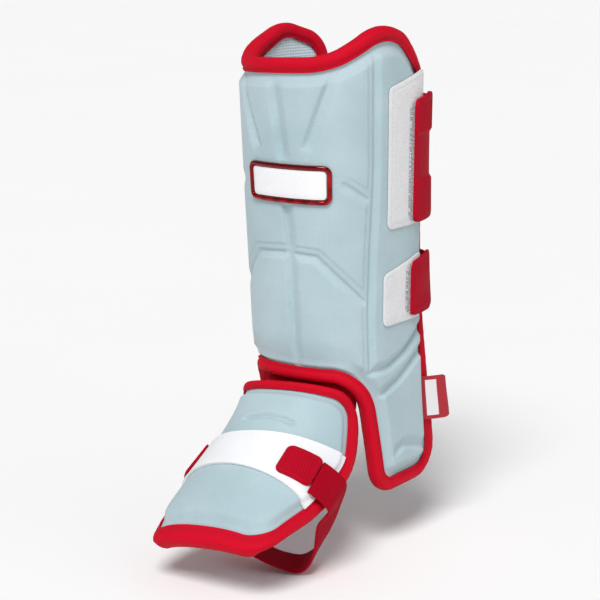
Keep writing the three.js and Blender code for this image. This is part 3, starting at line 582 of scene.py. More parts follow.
def bound_edge(name, node, loop, faces, puff, form):
    """The tape folded over a wall's rim, and its stitches on the outside and the inside."""
    section = tape_section(*faces)
    walked = run_lengths(section[:, :2])
    inwards = inward_normals(loop)

    def lay(u, v, side):
        station = np.round(u * len(loop)).astype(int) % len(loop)
        row = np.round(v * (len(section) - 1)).astype(int)
        inset = section[row, 0] - section[row, 2] * puff(loop[station, 1])
        flat = loop[station] + inwards[station] * inset[:, None]
        turns = 2 * math.pi * u
        pucker = np.sin(turns * (len(loop) // 4)) * np.sin(turns * (len(loop) // 17) + 1.0)
        from_fold = FOLD_ROW - row
        puffed = (np.abs(from_fold) > 1) & (np.abs(from_fold) < STITCH_ROWS)
        lift = section[row, 1] + np.where(puffed, PUCKER * pucker * np.sign(from_fold), 0.0)
        walk = u * LOOP_STEP * len(loop)
        return form(*flat.T, lift), np.stack([walk, walked[row]], axis=-1)

    tape = laid_piece(name + "_tape", len(loop), len(section) - 1, lay, swept=True)
    finished(tape, tape_finish, [node])
    for leg, sign in (("outside", 1), ("inside", -1)):
        inset, lift, share = section[FOLD_ROW - sign * STITCH_ROWS]
        stitched(f"{name}_stitches_{leg}", inset_loop(loop, inset), lift, sign, form)


def tape_cloth(name, dark, bright):
    return finish(name, dark, bright, lambda flat, place: [
        ((flat.part(0) + flat.part(1)).ribs(0.0014), 0.22, 0, 0.6),
        (flat.part(1).ribs(0.0011), 0.13, 0, 0.3),
        (flat.noise(1100.0, 3.0), 0.25, 0.15, 0.4),
        (place.noise(30.0, 3.0), 0.4, 0, 0),
    ], 0.62, 0.00025, Sheen_Weight=0.1, Sheen_Roughness=0.4, Sheen_Tint=srgb(*dark),
        Specular_IOR_Level=0.12)


def thread_finish(name, dark, bright):
    return finish(
        name, dark, bright, lambda flat, place: [(place.noise(2600.0, 2.0), 1, 0, 1)],
        0.5, 0.0001, Specular_IOR_Level=0.25)


tape_finish = tape_cloth("red_tape", (186, 1, 27), (216, 3, 42))
thread = thread_finish("red_thread", (128, 1, 20), (176, 6, 36))
shin_faces = (-SHIN_RIM_DROP, LINING_FACE - LINING)
bound_edge(
    "shin_edge", "shin_binding", shin_loop, shin_faces, lambda height: SHIN_PUFF,
    on_shin)


# Foot shell. The same moulded foam in a shorter, rounder wall over the instep and the toes,
# joined to the arch of the shin wall by a cloth gusset, with one short channel near the ankle.
FOOT_LENGTH = 150.0
FOOT_REACH = 161.0
INSTEP_HEIGHT = 139.0
FOOT_HALF_WIDTH = 58.0
FOOT_ROLL = math.radians(6)
FOOT_TURN = math.radians(-1)
FOOT_PIVOT = np.array([0.0, -50.0, 131.0])
FOOT_SIDESTEP = -1.0
FOOT_FOAM = 7.0
FOOT_RIM_DROP = 3.2
FOOT_BEVEL = 5.6
FOOT_SQUARE = 2.3
FOOT_TUCK = 3.6
FOOT_LINING_FACE = -FOOT_FOAM - LAYER_GAP
FOOT_LINING_ROOM = 1.0
FOOT_STEP = 0.5
FOOT_STEPS = 240
FOOT_REACH_OUT = 4

# Sections: along is a share of the foot's length, ridge and rim of its reach, their rises of the
# instep height, half of the half width
FOOT_COLUMNS = ("along", "ridge", "ridge_rise", "rim", "rim_rise", "half")
FOOT_SECTIONS = [
    (0.00, 1.019, 0.309, 0.963, 0.230, 0.888), (0.13, 0.907, 0.468, 0.845, 0.281, 0.966),
    (0.30, 0.770, 0.597, 0.634, 0.360, 1.000), (0.48, 0.658, 0.698, 0.429, 0.439, 0.983),
    (0.65, 0.547, 0.799, 0.267, 0.525, 0.940), (0.82, 0.441, 0.899, 0.174, 0.698, 0.879),
    (1.00, 0.354, 1.000, 0.161, 0.878, 0.845),
]


def spun(points, first, second, angle):
    """Points turned by an angle in the plane of two of their axes."""
    c, s = math.cos(angle), math.sin(angle)
    result = points.copy()
    result[..., first] = points[..., first] * c - points[..., second] * s
    result[..., second] = points[..., first] * s + points[..., second] * c
    return result


def foot_form(stations, steps):
    """The foot guard's face as sections of points, with their flat distances from the ridge."""
    row = between_rows(FOOT_COLUMNS, FOOT_SECTIONS, stations / FOOT_LENGTH)
    angle = math.pi * (np.arange(steps + 1) / steps - 0.5)
    radius = rounded_radius(np.sin(angle), np.cos(angle), 1.0, 1.0, FOOT_SQUARE)
    rise = (radius * np.cos(angle))[None, :]
    x = row["half"][:, None] * FOOT_HALF_WIDTH * (radius * np.sin(angle))[None, :]
    y = -FOOT_REACH * (row["rim"][:, None] * (1 - rise) + row["ridge"][:, None] * rise)
    z = INSTEP_HEIGHT * (row["rim_rise"][:, None] * (1 - rise) + row["ridge_rise"][:, None] * rise)
    rolled = spun(np.stack([x, y, z], axis=-1) - FOOT_PIVOT, 0, 2, FOOT_ROLL)
    points = spun(rolled, 0, 1, FOOT_TURN) + FOOT_PIVOT + np.array([FOOT_SIDESTEP, 0.0, 0.0])
    lengths = np.cumsum(np.linalg.norm(np.diff(points, axis=1), axis=2), axis=1)
    lengths = np.concatenate([np.zeros((len(stations), 1)), lengths], axis=1)
    return points, lengths - lengths[:, steps // 2][:, None]


foot_points, foot_lengths = foot_form(
    np.arange(0, FOOT_LENGTH + FOOT_STEP, FOOT_STEP), FOOT_STEPS)


def foot_face(across, along):
    """Points of the foot guard's face: flat distance across from the ridge, and from the toe."""
    at = np.clip(along / FOOT_STEP, 0, len(foot_points) - 1.001)
    found = []
    for row in (at.astype(int), at.astype(int) + 1):
        lengths = foot_lengths[row]
        k = np.clip((lengths < across[:, None]).sum(axis=1), 1, lengths.shape[1] - 1)
        i = np.arange(len(across))
        t = (across - lengths[i, k - 1]) / (lengths[i, k] - lengths[i, k - 1])
        low = foot_points[row, k - 1]
        found.append(low + (foot_points[row, k] - low) * t[:, None])
    t = (at - at.astype(int))[:, None]
    return found[0] * (1 - t) + found[1] * t


def on_foot(across, along, lift):
    """Points of the foot guard: the same two distances, and the lift off its face."""
    across, along, lift = np.broadcast_arrays(across, along, lift)
    kept = np.clip(along, 0, FOOT_LENGTH)
    reach = FOOT_REACH_OUT
    sideways = foot_face(across + reach, kept) - foot_face(across - reach, kept)
    ahead = foot_face(across, np.minimum(kept + reach, FOOT_LENGTH))
    upwards = unit(ahead - foot_face(across, np.maximum(kept - reach, 0)))
    outwards = unit(np.cross(sideways, upwards))
    return foot_face(across, kept) + upwards * (along - kept)[:, None] + outwards * lift[:, None]


def foot_half_arc(along):
    """Flat distance from the ridge to the rim."""
    at = np.clip(np.asarray(along) / FOOT_STEP, 0, len(foot_lengths) - 1)
    return np.interp(at, np.arange(len(foot_lengths)), foot_lengths[:, -1])


# The flat cut runs along the rim, with its corners' radii as shares of an ordinary corner
foot_rows = [0.0, *[row[0] * FOOT_LENGTH for row in FOOT_SECTIONS[2:-2]], FOOT_LENGTH]
foot_ends = {1: {0.0: 1.5, FOOT_LENGTH: 1.25}, -1: {0.0: 1.0, FOOT_LENGTH: 1.9}}
FOOT_SIDE_CORNER = 2.5
foot_corners = [
    (side * float(foot_half_arc(along)), along,
     foot_ends[side].get(along, FOOT_SIDE_CORNER) * CORNER)
    for side, rows in ((1, foot_rows), (-1, foot_rows[::-1])) for along in rows]
foot_loop = rounded_loop(foot_corners, LOOP_STEP)
toe_half = float(foot_half_arc(0.0))
ankle_half = float(foot_half_arc(FOOT_LENGTH))
foot_turns = [np.array(p) for p in (
    (-toe_half, 0), (toe_half, 0), (ankle_half, FOOT_LENGTH), (-ankle_half, FOOT_LENGTH))]
foot_cut = flat_cut(inset_loop(foot_loop, FOOT_TUCK), foot_turns)

# The short channel: its profile, its flat run in millimetres, and how its ends fade
INSTEP_CHANNEL = [(-1.6, 0.0), (-0.2, 2.9), (0.6, 2.9), (4.8, 0.0)]
INSTEP_RUN = [(-15.0, 104.5), (-10.0, 107.0), (5.0, 110.5), (20.0, 109.8), (31.0, 107.0)]
INSTEP_END = (-3, 4)
INSTEP_TIP = 0.3


def foot_relief(flat):
    inwards = edge_distance(flat, foot_loop)
    face = crisp_rise(inwards, RIM_WIDTH, RIM_WIDTH + FOOT_BEVEL)
    signed, passed, length = nearest_on_run(flat, np.array(INSTEP_RUN))
    across, depths = np.array(INSTEP_CHANNEL).T
    depth = np.interp(signed, across, depths, left=0, right=0)
    depth *= smooth_rise(passed, *INSTEP_END) * smooth_rise(length - passed, *INSTEP_END)
    depth = np.where((passed <= 0) | (passed >= length), depth * INSTEP_TIP, depth)
    return -FOOT_RIM_DROP * (1 - face) - depth * face


def foot_puff(along):
    """The tape puffs out more along the sides of the foot than at the toe and the ankle."""
    return 0.2 + 3.8 * smooth_rise(along, 2.0, 60.0) - 3.0 * smooth_rise(along, 120.0, 150.0)


foot_shell = laid_piece("foot_wall", 130, 130, layer(foot_cut, on_foot, foot_relief, -FOOT_FOAM))
finished(foot_shell, face_finish, ["foot_shell"])


# Foot lining and binding. The same mesh and the same folded tape as on the shin wall, with a
# little more room between the lining and the tape's inside.
lining_piece("foot_mesh", "foot_lining", 56, foot_cut, on_foot, FOOT_LINING_FACE)
foot_faces = (-FOOT_RIM_DROP, FOOT_LINING_FACE - LINING - FOOT_LINING_ROOM)
bound_edge("foot_edge", "foot_binding", foot_loop, foot_faces, foot_puff, on_foot)


# Ankle gusset. A strip of red knit sewn behind the arch of the shin wall and behind the top edge
# of the foot wall, so that the two bend against each other. It bulges and sags on the outer side.
GUSSET_CLOTH = 1.5
GUSSET_HALF = 47.0
GUSSET_SEAM = 7.0
GUSSET_LENGTH = 21
OUTER_BULGE = 25.0
INNER_BULGE = 14.0
GUSSET_SAG = 20.0
SAG_FROM = 0.72
arch_height = ARCH_RISE * GUARD_HEIGHT
behind_binding = LINING + BINDING_ROOM + BINDING_CLOTH + LAYER_GAP
shin_inside = LINING_FACE - behind_binding
foot_inside = FOOT_LINING_FACE - FOOT_LINING_ROOM - behind_binding


def curve_through(points, shares):
    """Points on a smooth curve through each row of points, at shares of the way along it."""
    count = points.shape[1] - 1
    at = shares * count
    k = np.minimum(at.astype(int), count - 1)
    t = (at - k)[:, None]
    padded = np.concatenate(
        [2 * points[:, :1] - points[:, 1:2], points, 2 * points[:, -1:] - points[:, -2:-1]], axis=1)
    i = np.arange(len(shares))
    before, start, end, after = (padded[i, k + j] for j in range(4))
    return cubic(start, end, (end - before) / 2, (after - start) / 2, 1.0, t)


def lay_gusset(u, v, side):
    share = 2 * u - 1
    belly = np.sin(v * math.pi)
    spread = np.where(share > 0, OUTER_BULGE, INNER_BULGE)
    across = GUSSET_HALF * share + spread * share ** 5 * belly ** 2
    inwards = np.where(side > 0.5, 0.0, GUSSET_CLOTH) + 0.25 * np.sin(across * 0.5) * belly

    def high(rise):
        return on_shin(across, arch_height + rise, shin_inside - inwards)

    def low(back):
        return on_foot(across, FOOT_LENGTH - back, foot_inside - inwards)

    waist = high(0.0) * 0.6 + low(0.0) * 0.4
    waist[:, 2] -= GUSSET_SAG * smooth_rise(share, SAG_FROM, 1.0)
    route = np.stack([low(GUSSET_SEAM), low(0.0), waist, high(-2.0), high(GUSSET_SEAM)], axis=1)
    return curve_through(route, v), np.stack([across, v * GUSSET_LENGTH], axis=-1)


gusset_finish = tape_cloth("gusset_knit", (164, 2, 26), (204, 6, 42))
ankle_gusset = laid_piece("ankle_gusset_cloth", 60, 24, lay_gusset)
finished(ankle_gusset, gusset_finish, ["ankle_gusset"])


# Badge. A moulded plastic frame with a red metallised finish, round a bare white plate with a
# fine leather grain, both stuck to the front of the shin wall.
BADGE_WIDTH = 66.0
BADGE_HEIGHT = 28.5
BADGE_FRAME = 3.4
BADGE_RAISE = 2.4
BADGE_CORNER = 6.0
BADGE_SIDE = 0.35
ROUND_STEPS = 12
PLATE_CLOTH = 1.05
PLATE_CROWN = 0.35
BADGE_AT = (0.033 * HALF_WRAP, 0.722 * GUARD_HEIGHT)


def panel(left, right, low, high, radius, step, slant=0.0):
    """A flat rectangle with round corners, as a loop and its four corners."""
    def place(x, y):
        return x, y + slant * (y - low) / (high - low) * (x - left)
    turns = [place(left, low), place(right, low), place(right, high), place(left, high)]
    loop = rounded_loop([(*turn, radius) for turn in turns], step)
    return loop, [np.array(turn) for turn in turns]


def badge_panel(inset):
    return panel(
        BADGE_AT[0] - BADGE_WIDTH / 2 + inset, BADGE_AT[0] + BADGE_WIDTH / 2 - inset,
        BADGE_AT[1] - BADGE_HEIGHT / 2 + inset, BADGE_AT[1] + BADGE_HEIGHT / 2 - inset,
        BADGE_CORNER - inset * 0.8, 1.0)


badge_loop = badge_panel(0.0)[0]
badge_inwards = inward_normals(badge_loop)
badge_section = np.array([
    (0.0, LAYER_GAP),
    *[(BADGE_FRAME / 2 * (1 - math.cos(angle)),
       LAYER_GAP + BADGE_RAISE * (BADGE_SIDE + (1 - BADGE_SIDE) * math.sin(angle)))
      for angle in np.linspace(0, math.pi, ROUND_STEPS + 1)],
    (BADGE_FRAME, LAYER_GAP), (0.0, LAYER_GAP)])


def lay_badge_frame(u, v, side):
    inset, lift = badge_section[np.round(v * (len(badge_section) - 1)).astype(int)].T
    k = (u * len(badge_loop)).astype(int) % len(badge_loop)
    flat = badge_loop[k] + badge_inwards[k] * inset[:, None]
    return on_shin(*flat.T, lift), flat


# The noise gives the frame random tone and wear. The crossed waves paint bright and dark patches
# into its colour: painted reflections of the studio in the metal.
chrome_finish = finish("red_chrome", (104, 6, 14), (186, 26, 36), lambda flat, place: [
    (place.noise(220.0, 4.0), 0.5, 0.12, 1),
    (flat.part(0).ribs(0.011) * flat.part(1).ribs(0.017, 1.0), 0.6, 0, 0),
], 0.1, 0.00008, Metallic=0.95, Coat_Weight=0.2, Coat_Roughness=0.05)
badge_frame = laid_piece(
    "badge_rim", len(badge_loop), len(badge_section) - 1, lay_badge_frame, swept=True)
finished(badge_frame, chrome_finish, ["badge_frame"])

plate_loop, plate_turns = badge_panel(BADGE_FRAME + LAYER_GAP)


def plate_face(flat):
    crown = PLATE_CROWN * smooth_rise(edge_distance(flat, plate_loop), 0.0, 3.0)
    return LAYER_GAP + PLATE_CLOTH + crown


plate_finish = finish("badge_white", (244, 244, 245), (222, 222, 225), lambda flat, place: [
    (flat.cells(950.0, 1.0), 0.35, 0.2, 1),
    (place.noise(60.0, 3.0), 0.4, 0, 0),
], 0.32, 0.00012, Coat_Weight=0.15)
badge_plate = laid_piece("badge_face", 56, 22, layer(
    flat_cut(plate_loop, plate_turns), on_shin, plate_face, LAYER_GAP))
finished(badge_plate, plate_finish, ["badge_plate"], sharp=60, edge=0.3)


# Closures on the outer side. Two patches of brushed white loop cloth are sewn to the wall, and a
# moulded red tab with a hook strip behind it is pressed on each.
LOOP_CLOTH = 1.2
PATCH_RIGHT = 0.880 * HALF_WRAP
PATCH_SEAM = 3.4
TAB_RIGHT = 0.985 * HALF_WRAP
TAB_LIFT = LAYER_GAP + LOOP_CLOTH + LAYER_GAP
TAB_WAIST = ((0.32, 0.36), (0.70, 0.74))
TAB_RIB = 2.6
HOOK_REACH = 4.5
HOOK_MARGIN = 3

# left is a share of the half wrap, low and high of the height, slant the slope of the top and
# bottom edges; a tab's middle is thinner by thin
UPPER_TAB = {"left": 0.746, "low": 0.635, "high": 0.864, "slant": 0.12, "thick": 3.6, "thin": 1.6}
LOWER_TAB = {"left": 0.742, "low": 0.457, "high": 0.560, "slant": 0.15, "thick": 2.4, "thin": 0.0}


pile_finish = finish("loop_pile", (200, 200, 203), (238, 238, 239), lambda flat, place: [
    (flat.cells(900.0, 0.9), 0.3, 0, 0.5),
    (flat.noise(380.0, 4.0, 0.65), 0.35, 0, 0.8),
    (place.noise(45.0, 3.0), 0.35, 0, 0),
], 0.92, 0.0006, Sheen_Weight=0.35, Sheen_Roughness=0.6)
white_thread = thread_finish("white_thread", (190, 190, 192), (226, 226, 228))


def patch_piece(name, node, left, low, high, slant):
    loop, turns = panel(
        left * HALF_WRAP, PATCH_RIGHT, low * GUARD_HEIGHT, high * GUARD_HEIGHT, 5.0, 1.5, slant)

    def face(flat):
        inwards = edge_distance(flat, loop)
        crown = LOOP_CLOTH * (0.55 + 0.45 * smooth_rise(inwards, 0.0, 2.4))
        return LAYER_GAP + crown - 0.45 * np.exp(-((inwards - PATCH_SEAM) / 0.7) ** 2)

    piece = laid_piece(
        name, 50, int((high - low) * GUARD_HEIGHT / 1.3),
        layer(flat_cut(loop, turns), on_shin, face, LAYER_GAP))
    finished(piece, pile_finish, [node], sharp=60)
    seam = stitched(
        name + "_seam", inset_loop(loop, PATCH_SEAM), LAYER_GAP + LOOP_CLOTH - 0.4, 1, on_shin)
    seam.data.materials[0] = white_thread


patch_piece("upper_loop_patch", "upper_loop_panel", 0.550, 0.632, 0.893, 0.22)
patch_piece("lower_loop_patch", "lower_loop_panel", 0.530, 0.450, 0.549, 0.2)


tab_finish = finish("red_moulding", (150, 2, 26), (190, 4, 38), lambda flat, place: [
    (place.noise(1300.0, 3.0, 0.6), 0.25, 0.25, 0.8),
    (flat.part(0).ribs(0.0021), 0.2, 0, 0.15),
    (place.noise(35.0, 3.0), 0.5, 0, 0),
], 0.55, 0.00016, Specular_IOR_Level=0.08)
hook_finish = finish("hook_strip", (136, 134, 138), (212, 212, 215), lambda flat, place: [
    (flat.noise(820.0, 2.0, 0.6).between(0.4, 0.62), 1, 0, 1),
], 0.6, 0.0004, Specular_IOR_Level=0.2)


def tab_piece(name, node, left, low, high, slant, thick, thin):
    left, bottom, top = left * HALF_WRAP, low * GUARD_HEIGHT, high * GUARD_HEIGHT
    loop, turns = panel(left, TAB_RIGHT, bottom, top, 6.0, 1.2, slant)

    def face(flat):
        inwards = edge_distance(flat, loop)
        share = (flat[:, 1] / GUARD_HEIGHT - low) / (high - low)
        waist = smooth_rise(share, *TAB_WAIST[0]) - smooth_rise(share, *TAB_WAIST[1])
        full = thick - thin * waist
        shoulder = full * (0.78 + 0.22 * np.sin(np.clip(inwards / 1.8, 0, 1) * math.pi / 2))
        groove = 0.35 * np.exp(-((inwards - 3.2) / 0.45) ** 2)
        ribs = 0.3 * (0.5 + 0.5 * np.sin(flat[:, 0] * 2 * math.pi / TAB_RIB))
        ribs *= smooth_rise(inwards, 3.8, 4.8) * (1 - waist)
        return TAB_LIFT + shoulder - groove - ribs

    piece = laid_piece(
        name, 64, int((high - low) * GUARD_HEIGHT / 1.1),
        layer(flat_cut(loop, turns), on_shin, face, TAB_LIFT + 0.5))
    finished(piece, tab_finish, [node], sharp=50)
    cut = flat_cut(*panel(
        left - HOOK_REACH, TAB_RIGHT - HOOK_MARGIN, bottom + HOOK_MARGIN, top - 2, 4.0, 2.0, slant))
    hooks = laid_piece(
        name + "_hooks", 12, 40, layer(cut, on_shin, lambda flat: TAB_LIFT + 0.8, TAB_LIFT - 0.2))
    finished(hooks, hook_finish, sharp=60, edge=0.2)


tab_piece("upper_closure_tab", "upper_strap_tab", **UPPER_TAB)
tab_piece("lower_closure_tab", "lower_strap_tab", **LOWER_TAB)


# Calf straps. Flat elastic webbing, ribbed along its length, from the tabs' back edges round
# behind the calf to the inner side, where each end is sewn down.
STRAP_CLOTH = 2.0
STRAP_END = 33.0
STRAP_SEAM = 4
CALF_STRAP_WIDTH = 28.0
ANKLE_STRAP_WIDTH = 38.0
WEB_DARK = (140, 1, 24)
web_finish = finish("red_elastic", WEB_DARK, (184, 3, 36), lambda flat, place: [
    (flat.part(1).ribs(0.0019), 0.2, 0, 0.6),
    (flat.part(0).ribs(0.0012), 0.15, 0, 0.5),
    (flat.noise(1300.0, 3.0), 0.25, 0.15, 0.3),
    (place.noise(28.0, 3.0), 0.4, 0, 0),
], 0.66, 0.00016, Sheen_Weight=0.08, Sheen_Roughness=0.4, Sheen_Tint=srgb(*WEB_DARK),
    Specular_IOR_Level=0.06)


def calf_strap(name, node, height, width):
    start = TAB_RIGHT + LAYER_GAP
    end = FULL_TURN - HALF_WRAP + STRAP_END

    def lay(u, v, side):
        around = start + (end - start) * u
        across = (v - 0.5) * width
        edge = 0.35 * smooth_rise(np.abs(across), width / 2 - 2.2, width / 2)
        base = TAB_LIFT + (LAYER_GAP - TAB_LIFT) * u
        lift = base + np.where(side > 0.5, STRAP_CLOTH - edge, edge)
        return on_shin(around, height + across, lift), np.stack([around, across], axis=-1)

    strap = laid_piece(name, 220, 16, lay)
    finished(strap, web_finish, [node], sharp=60)
    box = panel(
        end - STRAP_END + 2 * STRAP_SEAM, end - STRAP_SEAM,
        height - width / 2 + STRAP_SEAM, height + width / 2 - STRAP_SEAM, 1.5, 1.5)[0]
    seam = stitched(
        name + "_seam", box, LAYER_GAP + STRAP_CLOTH - 0.1, 1, on_shin)


for name, node, tab, share, width in (
    ("calf_strap_low", "upper_strap_low", UPPER_TAB, 0.18, CALF_STRAP_WIDTH),
    ("calf_strap_high", "upper_strap_high", UPPER_TAB, 0.84, CALF_STRAP_WIDTH),
    ("ankle_strap", "lower_strap", LOWER_TAB, 0.5, ANKLE_STRAP_WIDTH),
):
    rise = tab["low"] + share * (tab["high"] - tab["low"])
    calf_strap(name, node, rise * GUARD_HEIGHT, width)


# Instep band. A band of smooth white coated cloth, sewn across the foot wall inside its binding,
# with its ends dipping into the bevel.
BAND_CLOTH = 1.2
BAND_ROOM = 0.3
BAND_LOW = 0.37 * FOOT_LENGTH
BAND_WIDTH = 0.235 * FOOT_LENGTH
BAND_FALL = 0.07 * FOOT_LENGTH
BAND_FLARE = 0.06 * FOOT_LENGTH
BAND_LIFT = LAYER_GAP + BAND_ROOM
BAND_DIP = -2.6


def lay_band(u, v, side):
    share = 2 * u - 1
    low = BAND_LOW - BAND_FALL * np.abs(share) ** 1.5
    high = BAND_LOW + BAND_WIDTH + BAND_FLARE * share
    along = low + (high - low) * v
    half = foot_half_arc(along) - BINDING_WIDTH - 0.8 - 2.0 * v
    flat = np.stack([share * half, along], axis=-1)
    margin = np.minimum(v, 1 - v) * (high - low)
    seam = 0.4 * np.exp(-((margin - 2.2) / 0.6) ** 2) - 0.25 * (1 - smooth_rise(margin, 0, 1.2))
    base = np.maximum(foot_relief(flat), BAND_DIP)
    lift = base + np.where(side > 0.5, BAND_LIFT + BAND_CLOTH - seam * 0.6, 0.25)
    return on_foot(*flat.T, lift), flat


band_finish = finish("coated_white", (242, 243, 245), (218, 220, 224), lambda flat, place: [
    (flat.noise(700.0, 3.0), 0.2, 0.15, 1),
    (place.noise(40.0, 3.0), 0.6, 0, 0.4),
], 0.5, 0.00018, Sheen_Weight=0.1)
foot_band = laid_piece("instep_band", 120, 30, lay_band)
finished(foot_band, band_finish, ["foot_band"], sharp=60)


# Sole strap. Red elastic webbing with a moulded, ribbed hook tab at its outer end; it passes over
# the outer rim, under the sole, and up to the inner side of the foot wall.
FOOT_STRAP_WIDTH = 30.0
FOOT_STRAP_CLOTH = 1.8
FOOT_TAB = 3.0
FOOT_ANCHOR = 12.0
FOOT_TAB_ALONG = 0.47 * FOOT_LENGTH
FOOT_TAB_FROM = 0.60 * FOOT_HALF_WIDTH
FOOT_TAB_TO = 1.06 * FOOT_HALF_WIDTH
FOOT_TAB_LIFT = BAND_LIFT + BAND_CLOTH + LAYER_GAP
FOOT_TAB_HALF = 14.0
FOOT_TAB_RIB = 2.1
foot_tab_loop, foot_tab_turns = panel(
    FOOT_TAB_FROM, FOOT_TAB_TO, FOOT_TAB_ALONG - FOOT_TAB_HALF, FOOT_TAB_ALONG + FOOT_TAB_HALF,
    5.0, 0.8)


def foot_tab_face(flat):
    inwards = edge_distance(flat, foot_tab_loop)
    rim = FOOT_TAB * (0.45 + 0.55 * np.sin(np.clip(inwards / 2.4, 0, 1) * math.pi / 2))
    well = 0.7 * smooth_rise(inwards, 3.2, 4.2)
    across = (flat[:, 0] + 0.15 * flat[:, 1]) * 2 * math.pi / FOOT_TAB_RIB
    ribs = 0.42 * np.clip(np.sin(across) + 0.2, 0, 1) * smooth_rise(inwards, 4.2, 5.2)
    return FOOT_TAB_LIFT + rim - well + ribs


foot_tab = laid_piece("sole_strap_tab", 62, 68, layer(
    flat_cut(foot_tab_loop, foot_tab_turns), on_foot, foot_tab_face, FOOT_TAB_LIFT))
finished(foot_tab, tab_finish, ["foot_strap_tab"], sharp=50)

# The strap's middle below the guard: out is a share of the foot's half width, back of its reach,
# rise of the instep height; then swing turns the strap's width and tip leans it, in degrees
SOLE_ROUTE = [
    (0.945, 0.446, 0.350, 2, 14), (0.825, 0.452, 0.190, 15, 14), (0.705, 0.455, 0.108, 23, 11),
    (0.550, 0.460, 0.064, 28, 7), (0.370, 0.490, 0.074, 30, 4), (0.120, 0.550, 0.130, 30, 5),
    (-0.400, 0.530, 0.245, 15, 10), (-0.860, 0.470, 0.375, 0, 14),
]
strap_along = FOOT_TAB_ALONG - FOOT_STRAP_WIDTH / 10
rim_out = float(foot_half_arc(strap_along))


def strap_on_guard(start, end):
    stations = []
    quarter = FOOT_STRAP_WIDTH / 4
    for across in np.linspace(start, end, 5):
        spot, ahead, behind = on_foot(
            across, strap_along + np.array([0.0, quarter, -quarter]), FOOT_TAB_LIFT + BAND_ROOM)
        stations.append((spot, unit(ahead - behind)))
    return stations


def strap_below_guard():
    stations = []
    for out, back, rise, swing, tip in SOLE_ROUTE:
        lean = math.radians(tip)
        spot = np.array([out * FOOT_HALF_WIDTH, -back * FOOT_REACH, rise * INSTEP_HEIGHT])
        turn = math.radians(swing)
        across = np.array([
            -math.sin(turn) * math.cos(lean), math.cos(turn) * math.cos(lean), math.sin(lean)])
        stations.append((spot, across))
    return stations


sole_stations = (
    strap_on_guard(FOOT_TAB_TO + LAYER_GAP, rim_out - 3)
    + strap_below_guard() + strap_on_guard(3 - rim_out, FOOT_ANCHOR - FOOT_TAB_TO))
sole_middles = np.array([spot for spot, across in sole_stations])
sole_sides = np.array([across for spot, across in sole_stations])


def smooth_run(points, knots, at):
    """A smooth curve through points at the given knots."""
    slopes = np.gradient(points, knots, axis=0)
    k = np.clip(np.searchsorted(knots, at, side="right") - 1, 0, len(knots) - 2)
    step = (knots[k + 1] - knots[k])[:, None]
    t = (at - knots[k])[:, None] / step
    return cubic(points[k], points[k + 1], slopes[k], slopes[k + 1], step, t)


sole_knots = run_lengths(sole_middles)


def lay_sole_strap(u, v, side):
    at = u * sole_knots[-1]
    middle = smooth_run(sole_middles, sole_knots, at)
    ahead = smooth_run(sole_middles, sole_knots, np.minimum(at + 0.5, sole_knots[-1]))
    behind = smooth_run(sole_middles, sole_knots, np.maximum(at - 0.5, 0.0))
    across = unit(smooth_run(sole_sides, sole_knots, at))
    outwards = unit(np.cross(ahead - behind, across))
    off = (v - 0.5) * FOOT_STRAP_WIDTH
    edge = 0.3 * smooth_rise(np.abs(off), FOOT_STRAP_WIDTH / 2 - 2, FOOT_STRAP_WIDTH / 2)
    lift = np.where(side > 0.5, FOOT_STRAP_CLOTH - edge, edge)
    places = middle + across * off[:, None] + outwards * lift[:, None]
    return places, np.stack([at, off], axis=-1)


sole_strap = laid_piece("sole_strap", 240, 16, lay_sole_strap)
finished(sole_strap, web_finish, ["foot_strap"], sharp=60)


# Side tag. A short folded ribbon caught in the back seam of the outer side, woven red with a
# bare white field.
TAG_LENGTH = 34.0
TAG_REACH = 14.5
TAG_CLOTH = 1.0
TAG_LEAN = 0.3
TAG_AROUND = 0.953 * HALF_WRAP
TAG_HEIGHT = 0.279 * GUARD_HEIGHT
tag_root = -SHIN_RIM_DROP + 2 * LAYER_GAP


def lay_tag(u, v, side):
    lean = TAG_REACH * TAG_LEAN * u ** 2
    wave = 0.3 * np.sin(v * 5.0 + 0.6) * u
    around = TAG_AROUND + lean + wave + np.where(side > 0.5, 0.0, TAG_CLOTH)
    corner = 1.6 * np.clip((u - 0.86) / 0.14, 0, 1) ** 2
    height = TAG_HEIGHT + (v - 0.5) * (TAG_LENGTH - 2 * corner)
    places = on_shin(around, height, tag_root + u * TAG_REACH)
    return places, np.stack([u * TAG_REACH, v * TAG_LENGTH], axis=-1)


def woven_tag():
    material, flat, place = new_finish("woven_tag")
    out, up = flat.part(0), flat.part(1)
    field = (
        out.between(0.0030, 0.0034) * (1 - out.between(0.0094, 0.0098))
        * up.between(0.0028, 0.0032) * (1 - up.between(0.0308, 0.0312)))
    weave = up.ribs(0.0008) * 0.5 + out.ribs(0.0007) * 0.5
    yarn = flat.noise(1400.0, 2.0)
    ground = (weave * 0.5 + yarn * 0.5).mix(srgb(140, 4, 22), srgb(184, 10, 36))
    white = (weave * 0.5 + yarn * 0.5).mix(srgb(206, 202, 203), srgb(236, 233, 233))
    return close_finish(
        material, field.mix(ground, white), 0.5 + yarn * 0.15, weave + yarn * 0.4, 0.0001,
        Sheen_Weight=0.1)


side_tag = laid_piece("back_seam_tag", 24, 40, lay_tag)
finished(side_tag, woven_tag(), ["side_tag"], sharp=60, edge=0.2)


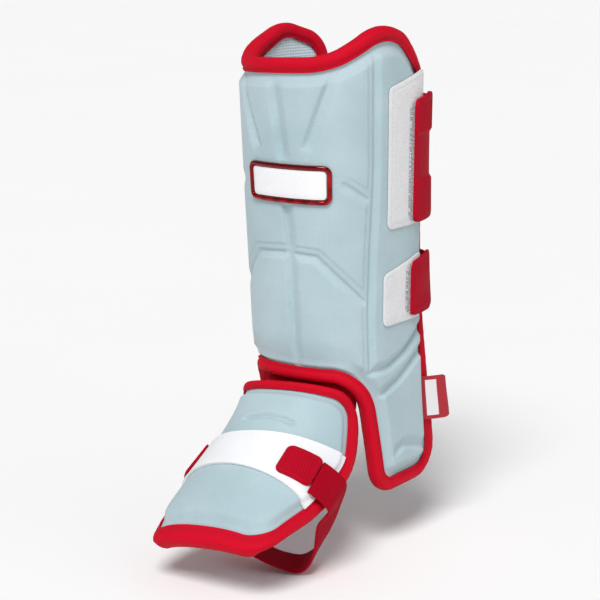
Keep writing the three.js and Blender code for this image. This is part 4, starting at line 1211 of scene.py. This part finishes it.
# Floor, lights and camera, for the picture only. A wide pale floor just under the sole strap, a
# large soft light in front and above, and a weaker one low down on the outer side.
FLOOR_HALF = 30.0
FLOOR_GAP = 0.0006
CAMERA_DISTANCE = 1.5
CAMERA_SIDESTEP = 0.012
CAMERA_TARGET = np.array([0.0, -10.0, 191.0])
floor_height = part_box("foot_strap")[0][2] - FLOOR_GAP
floor_blank = bmesh.new()
bmesh.ops.create_grid(
    floor_blank, x_segments=1, y_segments=1, size=FLOOR_HALF,
    matrix=Matrix.Translation((0.0, 0.0, floor_height)))
floor_mesh = bpy.data.meshes.new("studio_floor")
floor_blank.to_mesh(floor_mesh)
floor_blank.free()
studio_floor = bpy.data.objects.new("studio_floor", floor_mesh)
bpy.context.collection.objects.link(studio_floor)
floor_finish = finish("studio_paper", (250, 250, 250), (253, 253, 253), lambda flat, place: [
    (place.noise(3.0), 1, 0, 0),
], 0.9)
studio_floor.data.materials.append(floor_finish)

sky = bpy.data.worlds.new("studio_sky")
sky.use_nodes = True
white_sky = sky.node_tree.nodes["Background"].inputs
white_sky["Color"].default_value = (1.0, 1.0, 1.0, 1.0)
white_sky["Strength"].default_value = 0.3
bpy.context.scene.world = sky
bpy.context.scene.view_settings.view_transform = "Standard"


def seen_from(azimuth, elevation):
    """The direction towards an eye or a lamp, in degrees round from the front and up."""
    a, e = math.radians(azimuth), math.radians(elevation)
    return Vector((math.sin(a) * math.cos(e), -math.cos(a) * math.cos(e), math.sin(e)))


def placed(name, made, towards):
    """An object that looks back along a direction."""
    thing = bpy.data.objects.new(name, made)
    bpy.context.collection.objects.link(thing)
    thing.rotation_euler = towards.to_track_quat("Z", "Y").to_euler()
    return thing


def soft_sun(name, azimuth, elevation, power, spread):
    lamp = bpy.data.lights.new(name, "SUN")
    lamp.energy = power
    lamp.angle = math.radians(spread)
    placed(name, lamp, seen_from(azimuth, elevation))


soft_sun("key_light", 24, 50, 2.7, 26)
soft_sun("fill_light", 95, 24, 0.3, 60)

eye = bpy.data.cameras.new("photo_view")
eye.lens = 120.0
eye.sensor_width = 36.0
back = seen_from(36, 12)
right = Vector((-back.y, back.x, 0.0)).normalized()
target = Vector((CAMERA_TARGET - SEAT) * MM)
camera = placed("photo_view", eye, back)
camera.location = target + back * CAMERA_DISTANCE - right * CAMERA_SIDESTEP
bpy.context.scene.camera = camera
